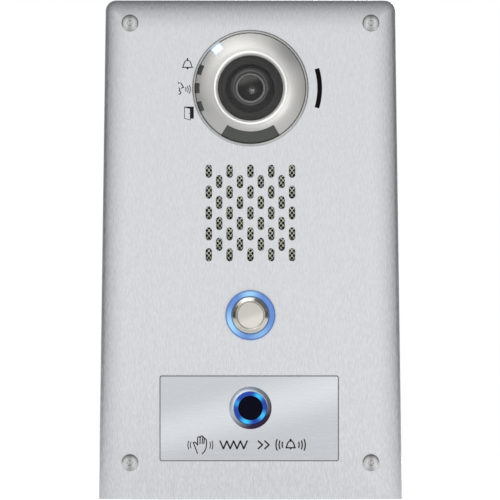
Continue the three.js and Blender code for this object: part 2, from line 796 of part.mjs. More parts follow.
// The board leaves the camera's swing free and carries its parts on its rear face.
function mainBoard() {
  const sheet = slab(
    rectangle(-BOARD.halfWidth, BOARD.halfWidth, BOARD.zBottom, BOARD.zTop, 2),
    BOARD.rear,
    BOARD.front,
    2,
  );
  const cameraRoom = block([-26, 26], [BOARD.front - 1, BOARD.rear + 1], [CAMERA.z - 22, BOARD.zTop + 1]);
  const holes = fourPlaces(STANDOFF).map(({ x, z }) => moved(rod(1.8, 20, 30, SMALL), x, z));
  const onBoard = (x, z, width, height, rise) => block(
    [x - width / 2, x + width / 2],
    [BOARD.rear - 0.2, BOARD.rear + rise],
    [z - height / 2, z + height / 2],
  );
  const parts = [
    onBoard(6, 0, 18, 18, 2.2), // processor
    onBoard(-18, 8, 12, 16, 7), // supply transformer
    onBoard(-16, -36, 17, 13, 6), // network transformer
    onBoard(20, 30, 10, 10, 1.6), // sound amplifier
    onBoard(RESET.x, RESET.z, 6, 6, RESET.switchHeight), // reset switch
  ];
  return cutBy(joined([sheet, ...parts]), [cameraRoom, ...holes]);
}

function networkJack() {
  const shell = block(
    [-JACK.width / 2, JACK.width / 2],
    [BOARD.rear + GAP, COVER.rear + 0.2],
    [-JACK.height / 2, JACK.height / 2],
  );
  const mouth = block(
    [-JACK.mouthWidth / 2, JACK.mouthWidth / 2],
    [JACK.floor, COVER.rear + 1],
    [-JACK.mouthHeight / 2, JACK.mouthHeight / 2],
  );
  const latchWay = block([-3.1, 3.1], [JACK.floor, COVER.rear + 1], [-JACK.mouthHeight / 2 - 1.8, 0]);
  return cutBy(shell, [mouth, latchWay]);
}

// One thing for each way of the terminal, at its place along X.
function perWay(make) {
  const middle = (TERMINAL.ways - 1) / 2;
  return Array.from({ length: TERMINAL.ways }, (_, i) => make((i - middle) * TERMINAL.pitch));
}

function terminalHeader() {
  const half = terminalWidth(2 + 2 * TERMINAL.wall) / 2;
  const floor = BOARD.rear + GAP + 1.5;
  const shell = block([-half, half], [BOARD.rear + GAP, TERMINAL.rear], [-4.4, 4.4]);
  const room = block(
    [-half + TERMINAL.wall, half - TERMINAL.wall],
    [floor, TERMINAL.rear + 1],
    [-4.4 + TERMINAL.wall, 4.4 - TERMINAL.wall],
  );
  const pins = perWay((x) => block([x - 0.5, x + 0.5], [floor - 0.5, floor + 5], [-0.5, 0.5]));
  return joined([shell.subtract(room), ...pins]);
}

function terminalPlug() {
  const half = terminalWidth(1.4) / 2;
  const foot = BOARD.rear + GAP + 1.8;
  const body = block([-half, half], [foot, TERMINAL.plugRear], [-3.1, 3.1]);
  const pinHoles = perWay((x) => block([x - 0.8, x + 0.8], [foot - 1, foot + 6], [-0.8, 0.8]));
  const mouth = TERMINAL.plugRear;
  const wireHoles = perWay((x) => block([x - 1.2, x + 1.2], [mouth - 6, mouth + 1], [-2.6, -0.2]));
  return cutBy(body, [...pinHoles, ...wireHoles]);
}

function standoff() {
  const front = INSIDE + SNUG;
  const rear = BOARD.front - GAP;
  const profile = [[0, front], [STANDOFF.radius, front], [STANDOFF.radius, rear], [STANDOFF.bore, rear]];
  return turned([...profile, [STANDOFF.bore, rear - 12], [0, rear - 12]], SMALL);
}

function coverScrew() {
  const seat = COVER.rear + SNUG;
  const tip = BOARD.front - 10;
  return turned([
    [0, tip],
    [1.5, tip],
    [1.5, seat],
    [2.8, seat],
    [2.8, seat + 1],
    [1.9, seat + 1.9],
    [1.2, seat + 1.9],
    [1.2, seat + 1],
    [0, seat + 1],
  ], SMALL);
}

function buildModule() {
  add(intercom, 'rear_housing', rearHousing(), FINISH.darkPlastic);
  add(intercom, 'back_cover', backCover(), FINISH.darkPlastic);
  add(intercom, 'main_board', mainBoard(), FINISH.board);
  add(unit(JACK.x, JACK.z), 'network_jack', networkJack(), FINISH.zincSteel);
  const terminal = unit(TERMINAL.x, TERMINAL.z);
  add(terminal, 'terminal_header', terminalHeader(), FINISH.green);
  add(terminal, 'terminal_plug', terminalPlug(), FINISH.green);
  const resetFront = BOARD.rear + RESET.switchHeight + RESET.travel + GAP;
  const pin = rod(RESET.radius, resetFront, COVER.rear + RESET.travel, SMALL);
  add(unit(RESET.x, RESET.z), 'reset_button', pin, FINISH.blackPlastic);
  fourPlaces(STANDOFF).forEach(({ x, z }, i) => {
    const place = unit(x, z);
    add(place, `standoff_${i + 1}`, standoff(), FINISH.zincSteel);
    add(place, `cover_screw_${i + 1}`, coverScrew(), FINISH.zincSteel);
  });
}

buildPanel();
buildCamera();
buildMicrophone();
buildSpeaker();
buildButton();
buildSensor();
buildModule();

export default intercom;
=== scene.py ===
"""Looks of a door intercom panel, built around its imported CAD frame.

Metres in the scene; the helpers below take millimetres. +Z is up, the wall plane is Y = 0 and the front
faces -Y. Places come from the frame's own boxes.
"""

import json
import math

import bmesh
import bpy
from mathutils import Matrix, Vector


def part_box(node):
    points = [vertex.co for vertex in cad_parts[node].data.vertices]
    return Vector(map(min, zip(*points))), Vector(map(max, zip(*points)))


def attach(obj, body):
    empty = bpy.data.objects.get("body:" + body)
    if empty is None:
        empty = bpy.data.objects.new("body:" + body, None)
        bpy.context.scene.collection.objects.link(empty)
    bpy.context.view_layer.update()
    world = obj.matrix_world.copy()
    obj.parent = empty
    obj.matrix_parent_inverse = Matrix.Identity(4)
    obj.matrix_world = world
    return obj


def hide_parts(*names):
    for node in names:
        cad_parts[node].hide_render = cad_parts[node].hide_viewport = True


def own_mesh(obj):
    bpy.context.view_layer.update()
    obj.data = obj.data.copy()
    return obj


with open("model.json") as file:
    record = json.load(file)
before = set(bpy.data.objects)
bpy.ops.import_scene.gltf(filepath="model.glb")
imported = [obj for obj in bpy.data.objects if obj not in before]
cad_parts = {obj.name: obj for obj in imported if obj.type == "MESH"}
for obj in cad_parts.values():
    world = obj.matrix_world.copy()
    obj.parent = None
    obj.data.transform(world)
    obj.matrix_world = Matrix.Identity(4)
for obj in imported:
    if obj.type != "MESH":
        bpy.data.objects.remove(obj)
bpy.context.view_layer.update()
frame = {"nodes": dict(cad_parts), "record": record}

MM = 0.001
TINY = 1e-6
BODY = "panel"
SLOT_OF = {row["node"]: row["material_slot"] for row in frame["record"]["subparts"]}

# ---- Places and sizes, in millimetres, read from the frame ----


def box(node):
    low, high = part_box(node)
    return low / MM, high / MM


def middle(node):
    low, high = box(node)
    return (low + high) / 2


def half_width(node):
    low, high = box(node)
    return (high.x - low.x) / 2


PANEL_LOW, PANEL_HIGH = box("face_panel")
FRONT = PANEL_LOW.y
SHEET = 2.0
INSIDE = FRONT + SHEET
TAPER = 3.1  # how much narrower each half of the panel is at its top than at its bottom

CAMERA = middle("camera_trim_ring")
TRIM = half_width("camera_trim_ring")
JOINT = TRIM - 1.6  # radius where the silver ring meets its trim
LIP = half_width("dome_cover") - 1.62  # radius of the white lip's inner edge
DOME_TOP = box("dome_cover")[0].y
MIC_RADIUS = 31.7
MIC_HALF = 16.4  # degrees
BUTTON = middle("button_body")
FLANGE = half_width("button_body")
GRILLE = middle("speaker_mesh")
PLATE_LOW, PLATE_HIGH = box("sensor_plate")
PLATE = (PLATE_LOW + PLATE_HIGH) / 2
SENSOR = middle("sensor_body")
SENSOR_RIM = half_width("sensor_body")


# ---- Outlines: lists of (x, z) points, counter-clockwise ----


def arc(x, z, radius, start, end, steps):
    """Points on an arc; the angles are in degrees, 0 along +X and 90 along +Z."""
    angles = [math.radians(start + (end - start) * i / steps) for i in range(steps + 1)]
    return [(x + radius * math.cos(a), z + radius * math.sin(a)) for a in angles]


def shifted(points, x, z, size=1.0):
    return [(x + px * size, z + pz * size) for px, pz in points]


def circle(x, z, radius, points=48):
    return arc(x, z, radius, 0, 360, points)[:-1]


def full_turn(count):
    """Angles in radians, evenly spaced round a circle."""
    return [2 * math.pi * i / count for i in range(count)]


def rounded_box(x0, x1, z0, z1, corner, steps=6):
    corners = [(x1, z0, -90), (x1, z1, 0), (x0, z1, 90), (x0, z0, 180)]
    points = []
    for x, z, start in corners:
        inward_x = corner if x == x0 else -corner
        inward_z = corner if z == z0 else -corner
        points += arc(x + inward_x, z + inward_z, corner, start, start + 90, steps)
    return points


def inset_box(low, high, inset, corner, steps=6):
    """The rounded outline of a box, moved inwards."""
    return rounded_box(low.x + inset, high.x - inset, low.z + inset, high.z - inset, corner, steps)


def rectangle(place, width, height):
    x, z = width / 2, height / 2
    return shifted([(-x, -z), (x, -z), (x, z), (-x, z)], place.x, place.z)


def upright_slot(x, z, width, length, steps=10):
    reach = (length - width) / 2
    top = arc(x, z + reach, width / 2, 0, 180, steps)
    bottom = arc(x, z - reach, width / 2, 180, 360, steps)
    return top + bottom


def band(x, z, inner, outer, direction, half, steps=12):
    """A piece of a ring with square ends."""
    out = arc(x, z, outer, direction - half, direction + half, steps)
    back = arc(x, z, inner, direction + half, direction - half, steps)
    return out + back


def capsule(start, end, radius, steps=8):
    """A round-ended bar between two points."""
    a, b = Vector(start), Vector(end)
    heading = math.degrees(math.atan2(b.y - a.y, b.x - a.x))
    far = arc(*b, radius, heading - 90, heading + 90, steps)
    near = arc(*a, radius, heading + 90, heading + 270, steps)
    return far + near


MITRE_LIMIT = 0.4  # keeps a sharp corner from reaching too far when its outline grows


def grown(points, distance):
    """The outline moved outwards by a distance."""
    moved = []
    count = len(points)
    for i in range(count):
        before, here, after = (Vector(points[(i + k) % count]) for k in (-1, 0, 1))
        a = (here - before).normalized()
        b = (after - here).normalized()
        normal = Vector((a.y + b.y, -a.x - b.x))
        if normal.length < TINY:
            normal = Vector((a.y, -a.x))
        normal.normalize()
        slant = max(MITRE_LIMIT, normal.dot(Vector((a.y, -a.x))))
        moved.append(tuple(here + normal * distance / slant))
    return moved


# ---- Meshes ----


LOBES = 6  # of a tamper-resistant screw's socket


def chamfered(outline, face, end, edge):
    """Layers from a face to another depth, with the edge at the face cut at 45 degrees: inwards, or for an
    opening outwards, by a negative edge."""
    return [(grown(outline, -edge), face), (outline, face + math.copysign(edge, end - face)), (outline, end)]


def add_object(name, data, place):
    obj = bpy.data.objects.new(name, data)
    obj.location = place
    bpy.context.scene.collection.objects.link(obj)
    return obj


class Piece:
    """A mesh under construction. Points are in millimetres in the part's frame; the object's origin, which
    its material's patterns start from, may lie elsewhere."""

    def __init__(self, name, origin=(0, 0, 0)):
        self.name = name
        self.origin = Vector(origin) * MM
        self.bm = bmesh.new()

    def point(self, x, y, z):
        return self.bm.verts.new(Vector((x, y, z)) * MM - self.origin)

    def ring(self, points, y):
        return [self.point(x, y, z) for x, z in points]

    def bridge(self, low, high):
        for i in range(len(low)):
            j = (i + 1) % len(low)
            self.bm.faces.new((low[i], low[j], high[j], high[i]))

    def fill(self, loops):
        """Closes the flat area between an outer loop and the loops inside it."""
        edges = []
        for loop in loops:
            for a, b in zip(loop, loop[1:] + loop[:1]):
                edges.append(self.bm.edges.get((a, b)) or self.bm.edges.new((a, b)))
        bmesh.ops.triangle_fill(self.bm, edges=edges, use_beauty=True, normal=(0, -1, 0))

    def stack(self, layers, holes=(), pockets=()):
        """A solid through (outline, y) layers. Holes are layered outlines that go right through it, and
        pockets are layered outlines that start from its first layer and end in a floor."""
        first, last = [], []
        for part in [layers, *holes, *pockets]:
            rings = [self.ring(points, y) for points, y in part]
            for low, high in zip(rings, rings[1:]):
                self.bridge(low, high)
            first.append(rings[0])
            if any(part is pocket for pocket in pockets):
                self.fill([rings[-1]])
            else:
                last.append(rings[-1])
        self.fill(first)
        self.fill(last)

    def prism(self, points, front, back, edge=0.0, holes=()):
        """A slab between two depths, its edges at the first depth cut at 45 degrees."""

        def layered(outline, sign):
            if edge > 0:
                return chamfered(outline, front, back, sign * edge)
            return [(outline, front), (outline, back)]

        self.stack(layered(points, 1), [layered(hole, -1) for hole in holes])

    def revolve(self, x, z, profile, segments=96):
        """Turns a (radius, y) profile about the Y axis through (x, z). The profile closes on itself unless
        both its ends lie on the axis. A third value gives a point lobes of that depth."""
        rings = []
        for radius, y, *lobe in profile:
            if radius < TINY:
                rings.append([self.point(x, y, z)])
                continue
            depth = lobe[0] if lobe else 0
            points = []
            for a in full_turn(segments):
                reach = radius + depth * math.cos(LOBES * a)
                points.append((x + reach * math.cos(a), z + reach * math.sin(a)))
            rings.append(self.ring(points, y))
        solid = len(rings[0]) == 1 and len(rings[-1]) == 1
        after = rings[1:] if solid else rings[1:] + rings[:1]
        for low, high in zip(rings, after):
            for i in range(segments):
                j = (i + 1) % segments
                quad = [low[i % len(low)], low[j % len(low)], high[j % len(high)], high[i % len(high)]]
                self.bm.faces.new(list(dict.fromkeys(quad)))

    def tube(self, path, radius, sides=6):
        """A round bar along a list of (x, y, z) points."""
        points = [Vector(p) for p in path]
        rings = []
        side = None
        for i, here in enumerate(points):
            along = (points[min(i + 1, len(points) - 1)] - points[max(i - 1, 0)]).normalized()
            side = along.orthogonal() if side is None else side
            side = (side - along * side.dot(along)).normalized()
            other = along.cross(side)
            spokes = [(side * math.cos(a) + other * math.sin(a)) * radius for a in full_turn(sides)]
            rings.append([self.point(*(here + spoke)) for spoke in spokes])
        for low, high in zip(rings, rings[1:]):
            self.bridge(low, high)
        self.bm.faces.new(rings[0])
        self.bm.faces.new(rings[-1])

    def block(self, x, y, z, edge=0.15):
        """A box with softened edges, from its ranges along the three axes."""
        made = bmesh.ops.create_cube(self.bm, size=1)["verts"]
        low, high = Vector((x[0], y[0], z[0])), Vector((x[1], y[1], z[1]))
        for vert in made:
            share = vert.co + Vector((0.5, 0.5, 0.5))
            vert.co = Vector([low[k] + (high[k] - low[k]) * share[k] for k in range(3)]) * MM - self.origin
        if edge > 0:
            edges = list({e for v in made for e in v.link_edges})
            bmesh.ops.bevel(self.bm, geom=edges, offset=edge * MM, segments=2, profile=0.5, affect="EDGES")

    def solid(self):
        """The plain object, with its faces turned outwards."""
        bmesh.ops.recalc_face_normals(self.bm, faces=self.bm.faces)
        mesh = bpy.data.meshes.new(self.name)
        self.bm.to_mesh(mesh)
        self.bm.free()
        return add_object(self.name, mesh, self.origin)

    def make(self, *looks, **options):
        return dress(self.solid(), *looks, **options)


def dress(obj, *looks, body=BODY, slot=None, node=None, sharp=32, even=False):
    """Shades a finished object and puts it on its body. A piece named NODE_fine stands for that CAD node,
    which is hidden, as is a node named by node.
    The slot argument is not used."""
    obj.data.shade_smooth()
    obj.data.set_sharp_from_angle(angle=math.radians(sharp))
    for look in looks:
        obj.data.materials.append(LOOKS[look])
    if even:
        obj.modifiers.new("even_shading", "WEIGHTED_NORMAL").keep_sharp = True
    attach(obj, body)
    if not slot and looks[0] in SLOT_OF.values():
        slot = looks[0]
    if obj.name.endswith("_fine"):
        node = obj.name.removesuffix("_fine")
    if node:
        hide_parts(node)
    return obj


def carve(obj, cutter):
    """Cuts one closed solid out of another, and uses the cutter up."""
    modifier = obj.modifiers.new("carve", "BOOLEAN")
    modifier.operation = "DIFFERENCE"
    modifier.solver = "EXACT"
    modifier.object = cutter
    bpy.context.view_layer.update()
    graph = bpy.context.evaluated_depsgraph_get()
    carved = bpy.data.meshes.new_from_object(obj.evaluated_get(graph))
    obj.modifiers.remove(modifier)
    obj.data = carved
    bpy.data.objects.remove(cutter, do_unlink=True)


def softened(profile, radius, steps=3):
    """A profile with its corners rounded; a point on the axis keeps its place."""
    points = [Vector(p[:2]) for p in profile]
    solid = points[0].x < TINY and points[-1].x < TINY
    count = len(points)
    result = []
    for i, here in enumerate(points):
        if solid and i in (0, count - 1):
            result.append(tuple(here))
            continue
        before = points[i - 1]
        after = points[(i + 1) % count]
        reach = min(radius, (before - here).length * 0.45, (after - here).length * 0.45)
        a = here + (before - here).normalized() * reach
        b = here + (after - here).normalized() * reach
        for k in range(steps + 1):
            t = k / steps
            result.append(tuple(a * (1 - t) ** 2 + here * 2 * t * (1 - t) + b * t**2))
    return result


def dome_profile(rim, rim_y, top_y, steps=24):
    """A spherical cap's profile, from its top on the axis to its rim."""
    rise = abs(rim_y - top_y)
    radius = (rim**2 + rise**2) / (2 * rise)
    side = 1 if rim_y > top_y else -1
    span = math.asin(rim / radius)
    angles = [span * i / steps for i in range(steps + 1)]
    return [(radius * math.sin(a), top_y + side * radius * (1 - math.cos(a))) for a in angles]


def turned(name, place, profile, *looks, soft=0.2, segments=128, **options):
    """A piece turned about the Y axis through a place."""
    piece = Piece(name, (place.x, 0, place.z))
    piece.revolve(place.x, place.z, softened(profile, soft) if soft else profile, segments)
    return piece.make(*looks, even=True, **options)


# ---- Materials ----


def set_range(node, *limits):
    """Gives a Map Range node its From Min, From Max, To Min and To Max."""
    for socket, limit in zip(("From Min", "From Max", "To Min", "To Max"), limits):
        node.inputs[socket].default_value = limit


def set_stops(ramp, stops):
    """Gives a Color Ramp node its (position, colour) stops."""
    elements = ramp.color_ramp.elements
    while len(elements) < len(stops):
        elements.new(0.5)
    for element, (position, colour) in zip(elements, stops):
        element.position = position
        element.color = (*colour, 1)


LOOKS = {}


class Look:
    """A node material around one Principled shader. LOOKS keeps it under its name."""

    def __init__(self, name, colour, roughness, metallic=0.0, **sockets):
        self.material = bpy.data.materials.new(name)
        LOOKS[name] = self.material
        self.material.use_nodes = True
        self.tree = self.material.node_tree
        self.shader = self.tree.nodes["Principled BSDF"]
        self.set("Base Color", (*colour, 1))
        self.set("Roughness", roughness)
        self.set("Metallic", metallic)
        for socket, value in sockets.items():
            self.set(socket.replace("_", " "), value)

    def set(self, socket, value):
        self.shader.inputs[socket].default_value = value

    def node(self, kind, **values):
        made = self.tree.nodes.new("ShaderNode" + kind)
        for key, value in values.items():
            if hasattr(made, key):
                setattr(made, key, value)
            else:
                made.inputs[key.replace("_", " ")].default_value = value
        return made

    def link(self, source, output, target, socket):
        self.tree.links.new(source.outputs[output], target.inputs[socket])

    def step(self, kind, operation, source, output, value=None):
        """A Math or VectorMath node fed by another one; value is its second input."""
        made = self.node(kind, operation=operation)
        self.link(source, output, made, 0)
        if value is not None:
            made.inputs[1].default_value = value
        return made

    def noise(self, stretch, detail=4.0, roughness=0.6):
        """Noise in the piece's own space. Stretch is how many cells a metre holds: one number, or one for
        each axis."""
        place = self.node("TexCoord")
        mapping = self.node("Mapping")
        mapping.inputs["Scale"].default_value = stretch if isinstance(stretch, tuple) else [stretch] * 3
        noise = self.node("TexNoise", Scale=1.0, Detail=detail, Roughness=roughness)
        self.link(place, "Object", mapping, "Vector")
        self.link(mapping, "Vector", noise, "Vector")
        return noise

    def range(self, source, output, low, high, from_low=0.3, from_high=0.7, smooth=False):
        ranged = self.node("MapRange", interpolation_type="SMOOTHSTEP" if smooth else "LINEAR")
        self.link(source, output, ranged, "Value")
        set_range(ranged, from_low, from_high, low, high)
        return ranged

    def ramp(self, source, output, *stops):
        """Colours at positions from 0 to 1."""
        ramp = self.node("ValToRGB")
        set_stops(ramp, stops)
        self.link(source, output, ramp, "Fac")
        return ramp

    def tint(self, source, output, dark, light, target="Base Color"):
        ramp = self.ramp(source, output, (0.3, dark), (0.7, light))
        self.link(ramp, "Color", self.shader, target)
        return ramp

    def multiply(self, first, second, target="Base Color"):
        """Two colours' product, on one of the shader's sockets."""
        mix = self.node("Mix", data_type="RGBA", blend_type="MULTIPLY")
        mix.inputs["Factor"].default_value = 1.0
        self.tree.links.new(first.outputs["Color"], mix.inputs[6])
        self.tree.links.new(second.outputs["Color"], mix.inputs[7])
        self.tree.links.new(mix.outputs[2], self.shader.inputs[target])

    def rough(self, source, output, low, high):
        self.link(self.range(source, output, low, high), "Result", self.shader, "Roughness")

    def bump(self, source, output, strength, distance):
        bump = self.node("Bump", Strength=strength, Distance=distance * MM)
        self.link(source, output, bump, "Height")
        self.link(bump, "Normal", self.shader, "Normal")

    def across(self, direction):
        """How far a point lies along a direction from the piece's origin, in metres."""
        return self.step("VectorMath", "DOT_PRODUCT", self.node("TexCoord"), "Object", direction)

    def from_axis(self):
        """The way from the piece's own Y axis straight out to a point, in metres."""
        return self.step("VectorMath", "MULTIPLY", self.node("TexCoord"), "Object", (1, 0, 1))

    def off_axis(self):
        """A point's distance from the piece's own Y axis, in metres."""
        return self.step("VectorMath", "LENGTH", self.from_axis(), "Vector")


SMEARS = 900  # cells of handling marks in a metre of polished metal


def grey(level):
    return (level, level, level)


def shade(colour, factor):
    return tuple(min(1.0, c * factor) for c in colour)


def brushed(name, colour, stretch, roughness, spread, bump=0.2, painted_sheen_band=None):
    """Metal ground in one direction: streaks, and if wanted a painted sheen, a soft band of painted highlight
    across the piece.
    """
    look = Look(name, colour, roughness, 1.0)
    streaks = look.noise(stretch, detail=3, roughness=0.5)
    tint = look.tint(streaks, "Fac", shade(colour, 1 - spread), shade(colour, 1 + spread))
    if painted_sheen_band:
        direction, centre, width, lift = painted_sheen_band
        # Painted sheen: the colour is lifted in a soft band across the piece.
        distance = look.step("Math", "SUBTRACT", look.across(direction), "Value", centre * MM)
        away = look.step("Math", "ABSOLUTE", distance, "Value")
        share = look.range(away, "Value", 1, 0, 0, width * MM, smooth=True)
        sheen = look.ramp(share, "Result", (0, grey(1)), (1, grey(lift)))
        look.multiply(tint, sheen)
    look.rough(streaks, "Fac", roughness - 0.04, roughness + 0.05)
    look.bump(streaks, "Fac", bump, 0.01)


def polished(name, colour, roughness=0.12):
    look = Look(name, colour, roughness, 1.0)
    smears = look.noise(SMEARS, detail=3)
    look.tint(smears, "Fac", shade(colour, 0.96), shade(colour, 1.03))
    look.rough(smears, "Fac", roughness * 0.8, roughness * 1.4)


def dish_with_painted_shade(name, colour, roughness, upper):
    """Polished metal whose upper half is painted a little darker: painted shade, standing in for the room
    that a shallow dish mirrors.
    """
    look = Look(name, colour, roughness, 1.0)
    smears = look.noise(SMEARS, detail=3)
    tint = look.tint(smears, "Fac", shade(colour, 0.95), shade(colour, 1.04))
    # Painted shade: the colour darkens towards the upper left.
    height = look.range(look.across((0.35, 0, -0.94)), "Value", 0, 1, -1.0 * MM, 2.5 * MM, smooth=True)
    look.multiply(tint, look.ramp(height, "Result", (0, grey(upper)), (1, grey(1))))
    look.rough(smears, "Fac", roughness * 0.8, roughness * 1.4)


def ring_with_painted_light(name, light, dark, roughness, direction, radius):
    """Polished metal with painted light and shade: lighter on one side of its ring, darker on the other."""
    look = Look(name, light, roughness, 1.0)
    # Painted light and shade: the colour runs from dark on one side of the ring to light on the other.
    a = math.radians(direction)
    side = look.range(look.across((math.cos(a), 0, math.sin(a))), "Value", 0, 1, -radius * MM, radius * MM)
    painted_light_and_shade = look.ramp(side, "Result", (0.12, dark), (0.5, shade(light, 0.6)), (0.9, light))
    smears = look.noise(SMEARS, detail=3)
    wear = look.ramp(smears, "Fac", (0.3, grey(0.95)), (0.7, grey(1)))
    look.multiply(painted_light_and_shade, wear)
    look.rough(smears, "Fac", roughness, roughness * 1.2)


def turned_face(name, colour, roughness, sides, ends):
    """A lathe-turned metal face: fine concentric grooves, with painted highlights that make it brighter to
    the sides than above and below.
    """
    look = Look(name, colour, roughness, 1.0)
    heading = look.step("VectorMath", "NORMALIZE", look.from_axis(), "Vector")
    split = look.node("SeparateXYZ")
    look.link(heading, "Vector", split, "Vector")
    sideways = look.step("Math", "ABSOLUTE", split, "X")
    # Painted highlight: the colour is lighter to the sides and darker above and below.
    shine = look.ramp(sideways, "Value", (0.15, shade(colour, ends)), (0.75, shade(colour, sides)))
    grooves = look.node("TexNoise", noise_dimensions="1D", Scale=9000.0, Detail=2.0)
    look.link(look.off_axis(), "Value", grooves, "W")
    wear = look.ramp(grooves, "Fac", (0.3, grey(0.9)), (0.7, grey(1)))
    look.multiply(shine, wear)
    look.bump(grooves, "Fac", 0.3, 0.02)


def moulded(name, colour, roughness, grain=0.02, cell=9000, **sockets):
    """Plastic or rubber with a fine grain."""
    look = Look(name, colour, roughness, **sockets)
    skin = look.noise(cell, detail=3)
    look.tint(skin, "Fac", shade(colour, 0.93), shade(colour, 1.08))
    look.rough(skin, "Fac", max(0.02, roughness - 0.06), roughness + 0.06)
    if grain > 0:
        look.bump(skin, "Fac", 0.4, grain)


def glowing(name, place, radius, base, bright, spots, strength, rim=None):
    """A light guide lit from behind, brighter near its lamps. Each spot is (direction, size in mm, share);
    rim is the radius beyond which the guide darkens. The piece's origin lies on its axis at Y = 0."""
    look = Look(name, shade(base, 0.4), 0.35, Specular_IOR_Level=0.2)
    where = look.node("TexCoord")
    total = None
    for direction, size, share in spots:
        a = math.radians(direction)
        lamp = Vector((radius * math.cos(a), place.y, radius * math.sin(a))) * MM
        distance = look.step("VectorMath", "DISTANCE", where, "Object", lamp)
        glow = look.range(distance, "Value", share, 0, 0, size * MM, smooth=True)
        if total is None:
            total = (glow, "Result")
            continue
        both = look.step("Math", "MAXIMUM", *total)
        look.link(glow, "Result", both, 1)
        total = (both, "Value")
    light = look.ramp(*total, (0, base), (1, bright))
    if rim:
        edge = look.range(look.off_axis(), "Value", 0, 1, (rim - 0.7) * MM, rim * MM, smooth=True)
        dim = look.ramp(edge, "Result", (0, grey(1)), (1, (0.45, 0.42, 0.6)))
        look.multiply(light, dim, "Emission Color")
    else:
        look.link(light, "Color", look.shader, "Emission Color")
    look.set("Emission Strength", strength)


def glass_with_painted_sheen(name):
    """Lens glass with a soft brownish painted sheen on its upper left: a painted reflection."""
    look = Look(name, (0.012, 0.012, 0.013), 0.2, Specular_IOR_Level=0.35)
    # Painted reflection: the colour turns lighter and browner towards the upper left.
    sheen = look.range(look.across((-0.3, 0, 0.95)), "Value", 0, 1, 0.4 * MM, 4.6 * MM, smooth=True)
    painted_sheen_colour = look.ramp(sheen, "Result", (0, (0.012, 0.012, 0.013)), (0.5, (0.11, 0.11, 0.10)),
                     (1, (0.33, 0.32, 0.30)))
    dust = look.noise(500, detail=2)
    look.multiply(painted_sheen_colour, look.ramp(dust, "Fac", (0.3, grey(0.8)), (0.7, grey(1))))


def clear_dome(name):
    """Smoked polycarbonate: mostly clear, with a faint haze that grows towards its edge."""
    look = Look(name, (0.18, 0.18, 0.175), 0.2, Specular_IOR_Level=0.4)
    haze = look.noise(300, detail=2)
    look.tint(haze, "Fac", (0.16, 0.16, 0.158), (0.20, 0.20, 0.195))
    clear = look.node("BsdfTransparent")
    clear.inputs["Color"].default_value = (0.8, 0.8, 0.8, 1)
    facing = look.node("LayerWeight", Blend=0.3)
    share = look.range(facing, "Facing", 0.10, 0.8, 0.0, 1.0)
    mix = look.node("MixShader")
    look.link(share, "Result", mix, "Fac")
    look.link(clear, "BSDF", mix, 1)
    look.link(look.shader, "BSDF", mix, 2)
    look.link(mix, "Shader", look.tree.nodes["Material Output"], "Surface")


